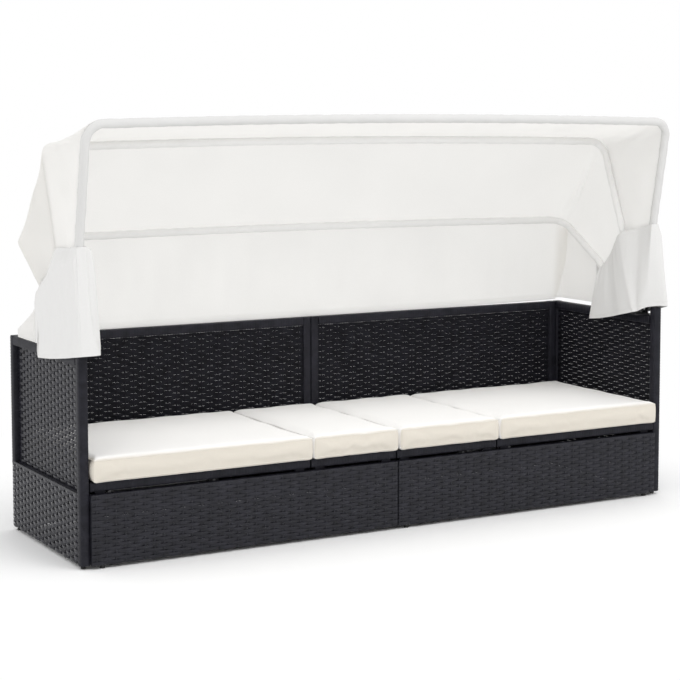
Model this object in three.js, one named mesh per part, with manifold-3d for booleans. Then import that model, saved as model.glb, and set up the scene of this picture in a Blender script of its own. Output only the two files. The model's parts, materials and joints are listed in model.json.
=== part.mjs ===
import * as THREE from 'three';
import { mergeVertices } from 'three/addons/utils/BufferGeometryUtils.js';
import Module from 'manifold-3d';

const wasm = await Module();
wasm.setup();

// Outdoor daybed with a folding canopy. Millimetres, +Z up.
// X runs along the seat with the backrest end at -X, and Y runs from the front to the back.

// Driving dimensions of the whole
const overallLength = 2000;
const overallDepth = 580;
const fitGap = 0.3; // left between pieces that touch
const cutOverrun = 2; // how far a cut runs past what it cuts

// Frames of wrapped square tube
const tube = 28;
const tubeEase = 6; // rounding along the tube's edges
const cornerRound = 14; // rounding of an end frame's lower corners
const footHeight = 10;
const footRadius = 7;
const railTop = 585;
const postRise = 28; // the front posts stand this far above the side rails
const skirtTop = 208;
const apronTop = 206;
const apronStep = 12; // the aprons stand this far ahead of the posts

// Woven panels
const weaveThickness = 8;
const endWeaveRecess = 14; // the end panel lies this far inside the frame's outer face
const backWeaveRecess = 4;
const skirtRecess = 1;

// Deck of four sections
const deckLift = 7; // dark groove between the aprons and the deck
const deckRail = 26;
const deckEase = 6;
const deckRearGap = 10; // between the deck and the back frames
const deckJoint = 5; // gap between two sections
const deckEndGap = 2; // gap to an end frame
const backrestLength = 682;
const seatLength = 290;
const thighLength = 360;
const deckWeave = 6;
const deckWeaveDrop = 3;
const padLength = 30;
const padWidth = 10;
const padInset = 30;

// Hinges between the sections
const hingeDrop = 8; // from the deck's nearest face to the hinge axis
const knuckleRadius = 6;
const knuckleLength = 24;
const knuckleInset = 60;
const pinRadius = 2;
const pinHead = 3;
const pinHeadRadius = 4;
const runningGap = 0.3;
const pocketGap = 1;

// Props under the backrest and the thigh section, and the racks they stand in
const propRadius = 5;
const propStubRadius = 4;
const propDrop = 8; // pivot below the deck frame
const backPropSetback = 300; // from the backrest's hinge to the prop's pivot
const backPropLength = 317;
const kneePropSetback = 250;
const kneePropLength = 170;
const lugThickness = 10;
const lugWidth = 30;
const lugSink = 4; // overlap of a lug with its rail
const lugBelow = 9; // from the pivot down to the lug's end
const lugAbove = 22;
const propSideGap = 6; // between a lug and the leg beside it, measured from the leg's centre
const propReach = 2; // the foot bar stops this far short of the frames
const rackThickness = 6;
const rackHeight = 38;
const rackTop = 186.5;
const rackPitch = 46;
const rackTooth = 9;
const backRackNotches = 7;
const backRackStart = 630; // from the backrest's hinge
const kneeRackNotches = 3;
const kneeRackEnd = 450; // from the thigh's hinge

// Bearers under the deck
const bearer = 26;
const bearerHeight = 28;

// Cushions
const cushionEdge = 63; // thickness at the seam
const cushionCrown = 7;
const cushionOverhang = 20; // past the posts' front
const cushionEndGap = 3;
const cushionJoint = 2;
const cushionCorner = 20;
const cushionRoll = 12; // rounding along the top and bottom edges
const cushionDrawIn = 5;
const cushionBulge = 3;

// Canopy: three bows turn on one bolt in a bracket on each side rail
const pivotSetback = 83; // from the posts' front to the pivot
const pivotRise = 18; // from the side rail's top to the pivot
const bowRadius = 8;
const bowWall = 1.5;
const bowCorner = 50;
const bowArch = 12;
const bowSpacing = 17; // sideways, from one bow's end to the next
const bowInset = 12; // the front bow's ends, from the end of the frame
const rearBowWiden = 25; // sideways, from the bow's end to its leg
const midBowWiden = 7;
const frontBowDrawIn = 6;
const bendStart = 140; // from the pivot, where a leg begins to bend sideways
const bendEnd = 270;
const rearBowReach = 511; // from the pivot to the corner's height
const midBowReach = 583;
const frontBowReach = 622;
const rearBowDegrees = 31.7; // above level, from the rear
const midBowDegrees = 68.7;
const frontBowDegrees = 101;
const lugPlate = 4;
const lugDisc = 9;
const lugPlateWidth = 14;
const legStart = 24; // the tube starts this far from the bolt
const lugPlateReach = 36;

// Canopy bracket and bolt
const bracketPlate = 3;
const bracketLength = 60;
const earWidth = 28;
const earRise = 14; // above the pivot
const earSideGap = 1.7;
const boltRadius = 4;
const boltHead = 4;
const boltHeadRadius = 7;
const knobLength = 8;
const knobRadius = 6;

// Canopy cover
const cloth = 2;
const coverOffset = 12.5; // from a bow's centre to the middle of the cloth, over a padded sleeve
const coverCorner = 36; // rounding of the cover at a bow's corner, sharper than the bow's own
const coverSag = 10;
const seamReach = 285; // from the pivot to the seam of the side flaps
const seamDegrees = 2; // inside the flaps the seam turns this far in from a bow
const rearInnerReach = 215; // inside the flaps the seam is nearer the pivot
const midInnerReach = 255;
const curtainDrawIn = 50; // its free left side
const curtainWrap = 28; // its right side goes round the corner and bulges by this much
const curtainFullness = 7; // how far its folds stand out
const curtainFolds = 7;
const curtainOverlap = 3; // its hem reaches this far over the end frames
const curtainLift = 6; // its hem at the right end, above the rail
const flapDrop = 33; // hem below the side rail's top, at the flap's rear
const flapOut = 11; // outside the end frame
const flapIn = 42; // inside the end frame
const flapFront = 26; // ahead of the front post
const flapRise = 5; // hem above the side rail's top, at the front
const flapRear = 208; // from the pivot back to the flap's rear edge
const hemBend = 1.3; // above 1, the hem rises faster towards the front
const rightFrontLift = 30; // added to the right flap's hem at the front
const rightTailLift = 10; // the right flap's tail ends this far above the rail
const leftTailReach = 413; // from the pivot back to the tail's end
const rightTailReach = 458;
// How much of the height up to the rear bow each tail closes, from its end forward
const tailClosedShare = { left: [0.09, 0.2, 0.38, 0.6], right: [0.88, 1, 1, 1] };

// Planes that more than one piece shares
const halfLength = overallLength / 2;
const innerHalf = halfLength - tube;
const frontFace = -overallDepth / 2;
const backFace = overallDepth / 2;
const postFront = frontFace + apronStep;
const backInner = backFace - tube;
const apronInner = frontFace + tube;
const midRailBottom = skirtTop - tube;
const deckBottom = apronTop + deckLift;
const deckTop = deckBottom + deckRail;
const deckFront = postFront;
const deckRear = backInner - deckRearGap;
const deckEnd = innerHalf - deckEndGap;
const backHingeX = -deckEnd + backrestLength - deckJoint / 2;
const thighHingeX = backHingeX + seatLength;
const kneeHingeX = thighHingeX + thighLength;
const upperHingeZ = deckTop - hingeDrop;
const lowerHingeZ = deckBottom + hingeDrop;
const ledgeFront = backInner - bearer;
const propPivotZ = deckBottom - propDrop;
const pivotY = postFront + pivotSetback;
const pivotZ = railTop + pivotRise;
const boltHoleRadius = boltRadius + runningGap;
const pinHoleRadius = pinRadius + runningGap;

// A bow: its end's and its leg's distance from the middle, its reach and its angle
function bowAt(order, widen, reach, angle) {
  const end = halfLength - bowInset - order * bowSpacing;
  return { end, half: end + widen, reach, angle };
}
const bows = {
  rear: bowAt(2, rearBowWiden, rearBowReach, rearBowDegrees),
  mid: bowAt(1, midBowWiden, midBowReach, midBowDegrees),
  front: bowAt(0, -frontBowDrawIn, frontBowReach, frontBowDegrees),
};
const frontLift = { left: 0, right: rightFrontLift };
const tailLift = { left: 0, right: rightTailLift };
const tailReach = { left: leftTailReach, right: rightTailReach };

// Finishes
function finish(color, roughness, metalness = 0) {
  return new THREE.MeshStandardMaterial({ color, roughness, metalness });
}
const wicker = () => finish(0x1a1a21, 0.55);
const canvas = () => finish(0xf0eee6, 0.9);
const cushionCloth = () => finish(0xf4f0e4, 0.95);
const paintedSteel = () => finish(0x1d1d20, 0.5, 0.6);
const aluminium = () => finish(0xb9babd, 0.35, 1);
const zincSteel = () => finish(0x9a9c9f, 0.4, 1);
const blackPlastic = () => finish(0x121214, 0.6);

const daybed = new THREE.Group();

function add(name, geometry, material, place = new THREE.Vector3()) {
  const mesh = new THREE.Mesh(geometry, material);
  mesh.name = name;
  mesh.position.copy(place);
  daybed.add(mesh);
  return mesh;
}

// Solids: boolean cuts and joins
function toSolid(geometry) {
  const bare = geometry.clone();
  bare.deleteAttribute('normal');
  bare.deleteAttribute('uv');
  const merged = mergeVertices(bare);
  const vertProperties = new Float32Array(merged.attributes.position.array);
  const triVerts = new Uint32Array(merged.index.array);
  return new wasm.Manifold(new wasm.Mesh({ numProp: 3, vertProperties, triVerts }));
}

function toGeometry(solid) {
  const mesh = solid.getMesh();
  const geometry = new THREE.BufferGeometry();
  geometry.setAttribute('position', new THREE.BufferAttribute(mesh.vertProperties, 3));
  geometry.setIndex(new THREE.BufferAttribute(mesh.triVerts, 1));
  geometry.computeVertexNormals();
  return geometry;
}

function combine(base, joins, cuts = []) {
  let solid = toSolid(base);
  for (const join of joins) solid = solid.add(toSolid(join));
  for (const cut of cuts) solid = solid.subtract(toSolid(cut));
  return toGeometry(solid);
}

// Simple bodies in place
function block(x, y, z) {
  const geometry = new THREE.BoxGeometry(x[1] - x[0], y[1] - y[0], z[1] - z[0]);
  return geometry.translate((x[0] + x[1]) / 2, (y[0] + y[1]) / 2, (z[0] + z[1]) / 2);
}

function rodAlongY(x, y, z, radius, sides = 12) {
  const geometry = new THREE.CylinderGeometry(radius, radius, y[1] - y[0], sides);
  return geometry.translate(x, (y[0] + y[1]) / 2, z);
}

function rodAlongX(x, y, z, radius, sides = 16) {
  const geometry = new THREE.CylinderGeometry(radius, radius, x[1] - x[0], sides);
  return geometry.rotateZ(Math.PI / 2).translate((x[0] + x[1]) / 2, y, z);
}

function rectangle(low, high) {
  return [[low[0], low[1]], [high[0], low[1]], [high[0], high[1]], [low[0], high[1]]];
}

function outlineShape(points, holes) {
  const toVector = ([x, y]) => new THREE.Vector2(x, y);
  const shape = new THREE.Shape(points.map(toVector));
  for (const hole of holes) shape.holes.push(new THREE.Path(hole.map(toVector)));
  return shape;
}

// A frame of tube: its outline and holes, with the tube's long edges eased
function tubeFrame(points, holes, width, ease) {
  const geometry = new THREE.ExtrudeGeometry(outlineShape(points, holes), {
    depth: width - 2 * ease, steps: 1, curveSegments: 3,
    bevelEnabled: true, bevelThickness: ease, bevelSize: ease, bevelOffset: -ease, bevelSegments: 2,
  });
  return geometry.translate(0, 0, ease);
}

// Outlines drawn in Y and Z are extruded along +X, those drawn in X and Z along -Y
function standAlongX(geometry, x) {
  const axes = new THREE.Matrix4().makeBasis(
    new THREE.Vector3(0, 1, 0), new THREE.Vector3(0, 0, 1), new THREE.Vector3(1, 0, 0));
  return geometry.applyMatrix4(axes).translate(x, 0, 0);
}

function standFacingFront(geometry, y) {
  return geometry.rotateX(Math.PI / 2).translate(0, y, 0);
}

// End frames
function endFrameOutline() {
  const arc = (y, z, from) => [0, 1, 2, 3].map((i) => {
    const turn = from + (i / 3) * (Math.PI / 2);
    return [y + cornerRound * Math.cos(turn), z + cornerRound * Math.sin(turn)];
  });
  const cornerZ = footHeight + cornerRound;
  return [
    ...arc(postFront + cornerRound, cornerZ, Math.PI),
    ...arc(backFace - cornerRound, cornerZ, -Math.PI / 2),
    [backFace, railTop],
    [postFront + tube, railTop],
    [postFront + tube, railTop + postRise],
    [postFront, railTop + postRise],
  ];
}

const endHoles = {
  upper: [[postFront + tube, skirtTop], [backFace - tube, railTop - tube]],
  lower: [[postFront + tube, footHeight + tube], [backFace - tube, midRailBottom]],
};

function buildEnd(side, label) {
  const holes = [rectangle(...endHoles.upper), rectangle(...endHoles.lower)];
  const frame = tubeFrame(endFrameOutline(), holes, tube, tubeEase);
  const inner = side > 0 ? innerHalf : -halfLength;
  add(`end_frame_${label}`, standAlongX(frame, inner), wicker());
  const panel = (hole, recess) => {
    const outer = side * (halfLength - recess);
    const x = [outer, outer - side * weaveThickness].sort((a, b) => a - b);
    const y = [hole[0][0] + fitGap, hole[1][0] - fitGap];
    return block(x, y, [hole[0][1] + fitGap, hole[1][1] - fitGap]);
  };
  add(`end_weave_${label}`, panel(endHoles.upper, endWeaveRecess), wicker());
  add(`end_skirt_${label}`, panel(endHoles.lower, skirtRecess), wicker());
}

// Back frames, two halves with a seam in the middle
function buildBack(side, label) {
  const x = side > 0 ? [fitGap / 2, innerHalf - fitGap] : [-innerHalf + fitGap, -fitGap / 2];
  const upper = [[x[0] + tube, skirtTop], [x[1] - tube, railTop - tube]];
  const lower = [[x[0] + tube, footHeight + tube], [x[1] - tube, midRailBottom]];
  const outline = rectangle([x[0], footHeight], [x[1], railTop]);
  const frame = tubeFrame(outline, [rectangle(...upper), rectangle(...lower)], tube, tubeEase);
  add(`back_frame_${label}`, standFacingFront(frame, backFace), wicker());
  const panel = (hole, y) => block(
    [hole[0][0] + fitGap, hole[1][0] - fitGap], y, [hole[0][1] + fitGap, hole[1][1] - fitGap]);
  const weaveY = backInner + backWeaveRecess;
  const skirtY = backFace - skirtRecess;
  add(`back_weave_${label}`, panel(upper, [weaveY, weaveY + weaveThickness]), wicker());
  add(`back_skirt_${label}`, panel(lower, [skirtY - weaveThickness, skirtY]), wicker());
}

// Front aprons, two halves
function buildApron(side, label) {
  const x = side > 0 ? [fitGap / 2, innerHalf - fitGap] : [-innerHalf + fitGap, -fitGap / 2];
  const hole = [[x[0] + tube, footHeight + tube], [x[1] - tube, apronTop - tube]];
  const outline = rectangle([x[0], footHeight], [x[1], apronTop]);
  const frame = tubeFrame(outline, [rectangle(...hole)], tube, tubeEase);
  add(`apron_frame_${label}`, standFacingFront(frame, apronInner), wicker());
  const y = frontFace + skirtRecess;
  const weave = block([hole[0][0] + fitGap, hole[1][0] - fitGap], [y, y + weaveThickness],
    [hole[0][1] + fitGap, hole[1][1] - fitGap]);
  add(`apron_weave_${label}`, weave, wicker());
}

// Glides under the frames
function footGeometry() {
  const height = footHeight - fitGap;
  const waist = footRadius * 0.8;
  const profile = [[0, 0], [footRadius, 0], [footRadius, height / 3], [waist, height], [0, height]];
  const points = profile.map(([r, z]) => new THREE.Vector2(r, z));
  return new THREE.LatheGeometry(points, 12).rotateX(Math.PI / 2);
}

function buildFeet() {
  const endX = halfLength - tube / 2;
  const cornerY = cornerRound + footRadius;
  const apronY = (frontFace + apronInner) / 2;
  const backY = (backFace + backInner) / 2;
  const seamX = tube + footRadius + fitGap;
  const apronEndX = innerHalf - tube - footRadius;
  const places = {
    front_left: [-endX, postFront + cornerY],
    front_right: [endX, postFront + cornerY],
    rear_left: [-endX, backFace - cornerY],
    rear_right: [endX, backFace - cornerY],
    apron_left: [-apronEndX, apronY],
    apron_middle: [seamX, apronY],
    apron_right: [apronEndX, apronY],
    back_middle_left: [-seamX, backY],
    back_middle_right: [seamX, backY],
  };
  for (const [label, [x, y]] of Object.entries(places)) {
    add(`foot_${label}`, footGeometry(), blackPlastic(), new THREE.Vector3(x, y, 0));
  }
}

// What carries the deck behind and in the middle
function buildBearers() {
  const z = [midRailBottom, apronTop];
  const ledge = block([-innerHalf + fitGap, innerHalf - fitGap],
    [ledgeFront, backInner - fitGap], z);
  add('rear_ledge', ledge, paintedSteel());
  const bearerZ = [apronTop - bearerHeight, apronTop - fitGap];
  const middle = block([thighHingeX - bearer / 2, thighHingeX + bearer / 2],
    [apronInner + fitGap, ledgeFront - fitGap], bearerZ);
  add('middle_bearer', middle, paintedSteel());
}

// Deck hinges: each station has one knuckle of the left section and one of the right
const knuckleStations = [deckFront + knuckleInset, deckRear - knuckleInset - 2 * knuckleLength];

function knuckles(x, z, isLeftSection) {
  const joins = [];
  const { cuts } = pinPocket(x, z);
  for (const start of knuckleStations) {
    const left = [start, start + knuckleLength];
    const right = [left[1] + fitGap, left[1] + fitGap + knuckleLength];
    const own = isLeftSection ? left : right;
    const other = isLeftSection
      ? [left[1], right[1] + pocketGap] : [left[0] - pocketGap, right[0]];
    joins.push(rodAlongY(x, own, z, knuckleRadius));
    cuts.push(rodAlongY(x, other, z, knuckleRadius + pocketGap));
    cuts.push(rodAlongY(x, [left[0] - cutOverrun, right[1] + cutOverrun], z, pinHoleRadius));
  }
  return { joins, cuts };
}

// The pin's head sits in a pocket of its own at the front of the first knuckle
function pinPocket(x, z) {
  const start = knuckleStations[0];
  const low = start - pinHead - 2 * pocketGap;
  return { joins: [], cuts: [rodAlongY(x, [low, start], z, pinHeadRadius + pocketGap)] };
}

function hingePin(x, z) {
  const low = knuckleStations[0] - fitGap;
  const high = knuckleStations[1] + 2 * knuckleLength + fitGap + pinHead;
  const shaft = rodAlongY(x, [low, high], z, pinRadius);
  const head = rodAlongY(x, [low - pinHead, low], z, pinHeadRadius);
  return combine(shaft, [head]);
}

// Lugs that carry a prop's ends, one inside each long rail of the section
const frontLugY = [deckFront + deckRail - lugSink, deckFront + deckRail - lugSink + lugThickness];
const rearLugY = [deckRear - deckRail + lugSink - lugThickness, deckRear - deckRail + lugSink];

function lugs(x) {
  const z = [propPivotZ - lugBelow, propPivotZ + lugAbove];
  const across = [x - lugWidth / 2, x + lugWidth / 2];
  const joins = [block(across, frontLugY, z), block(across, rearLugY, z)];
  const hole = [frontLugY[0] - cutOverrun, rearLugY[1] + cutOverrun];
  const cuts = [rodAlongY(x, hole, propPivotZ, propStubRadius + runningGap)];
  return { joins, cuts };
}

function deckPads(x) {
  const z = [apronTop + fitGap, deckBottom + deckEase];
  const frontY = [apronInner - padWidth, apronInner];
  const rearY = [ledgeFront + fitGap, ledgeFront + fitGap + padWidth];
  const pads = [];
  for (const centre of [x[0] + padInset, x[1] - padInset]) {
    const across = [centre - padLength / 2, centre + padLength / 2];
    pads.push(block(across, frontY, z), block(across, rearY, z));
  }
  return pads;
}

// A deck section: eased ring, pads, hinge knuckles and, where it has a prop, its lugs
function buildDeck(label, x, fittings) {
  const hole = rectangle([x[0] + deckRail, deckFront + deckRail],
    [x[1] - deckRail, deckRear - deckRail]);
  const outline = rectangle([x[0], deckFront], [x[1], deckRear]);
  const ring = tubeFrame(outline, [hole], deckRail, deckEase).translate(0, 0, deckBottom);
  const joins = [...deckPads(x), ...fittings.flatMap((fitting) => fitting.joins)];
  const cuts = fittings.flatMap((fitting) => fitting.cuts);
  add(`deck_${label}`, combine(ring, joins, cuts), wicker());
  const weaveTop = deckTop - deckWeaveDrop;
  const weave = block([x[0] + deckRail + fitGap, x[1] - deckRail - fitGap],
    [deckFront + deckRail + fitGap, deckRear - deckRail - fitGap],
    [weaveTop - deckWeave, weaveTop]);
  add(`deck_weave_${label}`, weave, wicker());
}

function buildDecks() {
  const half = deckJoint / 2;
  buildDeck('back', [-deckEnd, backHingeX - half],
    [knuckles(backHingeX, upperHingeZ, true), lugs(backHingeX - backPropSetback)]);
  buildDeck('seat', [backHingeX + half, thighHingeX - half],
    [knuckles(backHingeX, upperHingeZ, false), knuckles(thighHingeX, upperHingeZ, true)]);
  buildDeck('thigh', [thighHingeX + half, kneeHingeX - half],
    [knuckles(thighHingeX, upperHingeZ, false), knuckles(kneeHingeX, lowerHingeZ, true),
      lugs(thighHingeX + kneePropSetback)]);
  buildDeck('foot', [kneeHingeX + half, deckEnd], [knuckles(kneeHingeX, lowerHingeZ, false)]);
  add('backrest_hinge_pin', hingePin(backHingeX, upperHingeZ), zincSteel());
  add('thigh_hinge_pin', hingePin(thighHingeX, upperHingeZ), zincSteel());
  add('knee_hinge_pin', hingePin(kneeHingeX, lowerHingeZ), zincSteel());
}

// A prop: two legs and a foot bar, with a short stub at each pivot
function propGeometry(pivotX, footX) {
  const frontLeg = frontLugY[1] + propSideGap;
  const rearLeg = rearLugY[0] - propSideGap;
  const along = [Math.min(pivotX, footX), Math.max(pivotX, footX)];
  const bar = [apronInner + propReach, ledgeFront - propReach];
  const legs = [frontLeg, rearLeg].map((y) => rodAlongX(along, y, propPivotZ, propRadius, 12));
  const footBar = rodAlongY(footX, bar, propPivotZ, propRadius);
  const stubs = [
    rodAlongY(pivotX, [frontLugY[0] - cutOverrun, frontLeg], propPivotZ, propStubRadius),
    rodAlongY(pivotX, [rearLeg, rearLugY[1] + cutOverrun], propPivotZ, propStubRadius),
  ];
  return combine(footBar, [...legs, ...stubs]);
}

// A rack: a plate on edge with a row of slanted notches in its top
function rackGeometry(startX, notches, lean, y) {
  const endX = startX + (notches + 1) * rackPitch;
  const points = [[startX, rackTop - rackHeight], [endX, rackTop - rackHeight], [endX, rackTop]];
  for (let i = notches; i >= 1; i -= 1) {
    const x = startX + i * rackPitch;
    const notch = [[x + rackTooth, rackTop], [x + lean * rackTooth, rackTop - rackTooth],
      [x - rackTooth, rackTop]];
    points.push(...notch);
  }
  points.push([startX, rackTop]);
  const plate = new THREE.ExtrudeGeometry(outlineShape(points, []),
    { depth: rackThickness, steps: 1, bevelEnabled: false });
  return standFacingFront(plate, y);
}

function buildProps() {
  const backPivot = backHingeX - backPropSetback;
  const kneePivot = thighHingeX + kneePropSetback;
  add('backrest_prop', propGeometry(backPivot, backPivot - backPropLength), zincSteel());
  add('knee_prop', propGeometry(kneePivot, kneePivot + kneePropLength), zincSteel());
  const frontY = apronInner + fitGap + rackThickness;
  const rearY = ledgeFront - fitGap;
  const backStart = backHingeX - backRackStart;
  const kneeStart = thighHingeX + kneeRackEnd - (kneeRackNotches + 1) * rackPitch;
  const share = 0.4;
  for (const [label, y] of [['front', frontY], ['rear', rearY]]) {
    add(`backrest_rack_${label}`, rackGeometry(backStart, backRackNotches, -share, y),
      paintedSteel());
    add(`knee_rack_${label}`, rackGeometry(kneeStart, kneeRackNotches, share, y), paintedSteel());
  }
}

// Closed body from rows of points: every row is a loop, the ends close on a point
function lathedLoops(bottom, rows, top) {
  const count = rows[0].length;
  const positions = [...bottom, ...rows.flat(2), ...top];
  const index = [];
  const at = (row, i) => 1 + row * count + (i % count);
  const last = 1 + rows.length * count;
  for (let i = 0; i < count; i += 1) {
    index.push(0, at(0, i + 1), at(0, i));
    index.push(last, at(rows.length - 1, i), at(rows.length - 1, i + 1));
    for (let row = 0; row + 1 < rows.length; row += 1) {
      index.push(at(row, i), at(row, i + 1), at(row + 1, i + 1));
      index.push(at(row, i), at(row + 1, i + 1), at(row + 1, i));
    }
  }
  return indexedGeometry(positions, index);
}

function indexedGeometry(positions, index) {
  const geometry = new THREE.BufferGeometry();
  geometry.setAttribute('position', new THREE.Float32BufferAttribute(positions, 3));
  geometry.setIndex(index);
  geometry.computeVertexNormals();
  return geometry;
}

// Cushions: boxed pads with rolled edges, a crowned top and sides drawn in between the corners
const sideShares = [-0.6, -0.2, 0.2, 0.6];
const cornerSteps = 3;

function cushionLoop(halfX, halfY, corner, drawIn, z) {
  const points = [];
  const sides = [[1, 0], [0, 1], [-1, 0], [0, -1]];
  for (const [nx, ny] of sides) {
    const reach = nx ? halfX : halfY;
    const run = (nx ? halfY : halfX) - corner;
    for (const share of sideShares) {
      const out = reach - drawIn * (1 - share * share);
      points.push([nx * out - ny * share * run, ny * out + nx * share * run, z]);
    }
    const turnFrom = Math.atan2(ny, nx);
    const centreX = (nx - ny) * (halfX - corner);
    const centreY = (nx + ny) * (halfY - corner);
    for (let i = 0; i <= cornerSteps; i += 1) {
      const turn = turnFrom + (i / cornerSteps) * (Math.PI / 2);
      points.push([centreX + corner * Math.cos(turn), centreY + corner * Math.sin(turn), z]);
    }
  }
  return points;
}

function cushionGeometry(length, width) {
  const halfX = length / 2;
  const halfY = width / 2;
  const loop = (inset, z) => {
    const corner = Math.max(cushionCorner - inset, cushionCorner / 4);
    return cushionLoop(halfX - inset, halfY - inset, corner, cushionDrawIn, z);
  };
  const flat = (share, z) => loop(cushionRoll, z).map(([x, y]) => [x * share, y * share, z]);
  const eased = cushionRoll * (1 - Math.SQRT1_2);
  const rows = [
    flat(1 / 2, 0), loop(cushionRoll, 0), loop(eased, eased), loop(0, cushionRoll),
    loop(-cushionBulge, cushionEdge / 2), loop(0, cushionEdge - cushionRoll),
    loop(eased, cushionEdge - eased), loop(cushionRoll, cushionEdge),
  ];
  for (const share of [0.9, 0.7, 0.4]) {
    rows.push(flat(share, cushionEdge + cushionCrown * (1 - share * share)));
  }
  return lathedLoops([0, 0, 0], rows, [0, 0, cushionEdge + cushionCrown]);
}

function buildCushions() {
  const half = cushionJoint / 2 + cushionBulge;
  const end = innerHalf - cushionEndGap - cushionBulge;
  const spans = {
    back: [-end, backHingeX - half],
    seat: [backHingeX + half, thighHingeX - half],
    thigh: [thighHingeX + half, kneeHingeX - half],
    foot: [kneeHingeX + half, end],
  };
  const front = postFront - cushionOverhang;
  const rear = deckRear - cushionBulge;
  for (const [label, x] of Object.entries(spans)) {
    const place = new THREE.Vector3((x[0] + x[1]) / 2, (front + rear) / 2, deckTop + fitGap);
    add(`cushion_${label}`, cushionGeometry(x[1] - x[0], rear - front), cushionCloth(), place);
  }
}

// A route through chosen points, each of which is a station of the tube along it
class RouteCurve extends THREE.Curve {
  constructor(points) {
    super();
    this.points = points;
  }

  getPoint(share, target = new THREE.Vector3()) {
    const at = share * (this.points.length - 1);
    const i = Math.min(Math.floor(at), this.points.length - 2);
    return target.lerpVectors(this.points[i], this.points[i + 1], at - i);
  }

  getPointAt(share, target) {
    return this.getPoint(share, target);
  }

  getTangentAt(share, target = new THREE.Vector3()) {
    const last = this.points.length - 1;
    const i = Math.round(share * last);
    const ahead = this.points[Math.min(i + 1, last)].clone().sub(this.points[Math.min(i, last - 1)]);
    const behind = this.points[Math.max(i, 1)].clone().sub(this.points[Math.max(i - 1, 0)]);
    return target.copy(ahead.normalize().add(behind.normalize())).normalize();
  }
}

function ring(radius, sides) {
  return Array.from({ length: sides }, (_, i) => {
    const turn = ((i + 1 / 2) / sides) * 2 * Math.PI;
    return [radius * Math.cos(turn), radius * Math.sin(turn)];
  });
}

// A bow's outline in its own plane, as [x, distance from the pivot], moved out by an offset
function bowOutline(bow, offset, corner, start, legSteps, arcSteps, barSteps) {
  const half = bow.half + offset;
  const reach = bow.reach + offset;
  const points = [];
  for (let i = 0; i < legSteps; i += 1) {
    points.push([-half, start + (i / legSteps) * (reach - corner - start)]);
  }
  for (let i = 0; i < arcSteps; i += 1) {
    const turn = (i / arcSteps) * (Math.PI / 2);
    points.push([-half + corner * (1 - Math.cos(turn)), reach - corner * (1 - Math.sin(turn))]);
  }
  for (let i = 0; i < barSteps / 2; i += 1) {
    const share = 1 - (2 * i) / barSteps;
    points.push([-(half - corner) * share, reach + bowArch * (1 - share * share)]);
  }
  const mirrored = points.map(([x, r]) => [-x, r]).reverse();
  return [...points, [0, reach + bowArch], ...mirrored];
}

// Height and depth of a point at a distance and an angle from the pivot
function fromPivot(x, distance, degrees) {
  const turn = THREE.MathUtils.degToRad(degrees);
  return new THREE.Vector3(
    x, pivotY + distance * Math.cos(turn), pivotZ + distance * Math.sin(turn));
}

function bowGeometry(bow) {
  const leg = [[-bow.end, legStart], [-bow.end, bendStart]];
  const outline = [...leg, ...bowOutline(bow, 0, bowCorner, bendEnd, 1, 6, 6),
    ...leg.map(([x, r]) => [-x, r]).reverse()];
  const route = new RouteCurve(outline.map(([x, r]) => new THREE.Vector3(x, 0, r)));
  const section = outlineShape(ring(bowRadius, 8), [ring(bowRadius - bowWall, 6)]);
  const tubeBody = new THREE.ExtrudeGeometry(section,
    { extrudePath: route, steps: outline.length - 1, bevelEnabled: false });
  const joins = [];
  const cuts = [];
  for (const side of [-1, 1]) {
    const x = side * bow.end;
    const plate = [x - lugPlate / 2, x + lugPlate / 2];
    joins.push(rodAlongX(plate, 0, 0, lugDisc));
    joins.push(block(plate, [-lugPlateWidth / 2, lugPlateWidth / 2], [0, lugPlateReach]));
    const hole = [plate[0] - cutOverrun, plate[1] + cutOverrun];
    cuts.push(rodAlongX(hole, 0, 0, boltHoleRadius));
  }
  return combine(tubeBody, joins, cuts);
}

function buildBows() {
  for (const [label, bow] of Object.entries(bows)) {
    const place = new THREE.Vector3(0, pivotY, pivotZ);
    const mesh = add(`bow_${label}`, bowGeometry(bow), aluminium(), place);
    mesh.rotation.x = THREE.MathUtils.degToRad(bow.angle) - Math.PI / 2;
  }
}

// Bracket: a plate on the rail with two ears, and the bolt through them
function buildBracket(side, label) {
  const inner = bows.rear.end - bowRadius - earSideGap - bracketPlate;
  const outer = halfLength - fitGap;
  const spanX = (low, high) => (side > 0 ? [low, high] : [-high, -low]);
  const y = [pivotY - bracketLength / 2, pivotY + bracketLength / 2];
  const base = block(spanX(inner, outer), y, [railTop + fitGap, railTop + fitGap + bracketPlate]);
  const ear = (low) => block(spanX(low, low + bracketPlate),
    [pivotY - earWidth / 2, pivotY + earWidth / 2], [railTop + fitGap, pivotZ + earRise]);
  const hole = rodAlongX(spanX(inner - cutOverrun, outer + cutOverrun), pivotY, pivotZ,
    boltHoleRadius);
  add(`canopy_bracket_${label}`, combine(base, [ear(inner), ear(outer - bracketPlate)], [hole]),
    paintedSteel());
  const knobFace = inner - fitGap;
  const headFace = outer + fitGap;
  const shaft = rodAlongX(spanX(knobFace, headFace), pivotY, pivotZ, boltRadius);
  const head = rodAlongX(spanX(headFace, headFace + boltHead), pivotY, pivotZ, boltHeadRadius, 6);
  const knob = rodAlongX(spanX(knobFace - knobLength, knobFace), pivotY, pivotZ, knobRadius, 10);
  add(`canopy_bolt_${label}`, combine(shaft, [head, knob]), paintedSteel());
}

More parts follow.
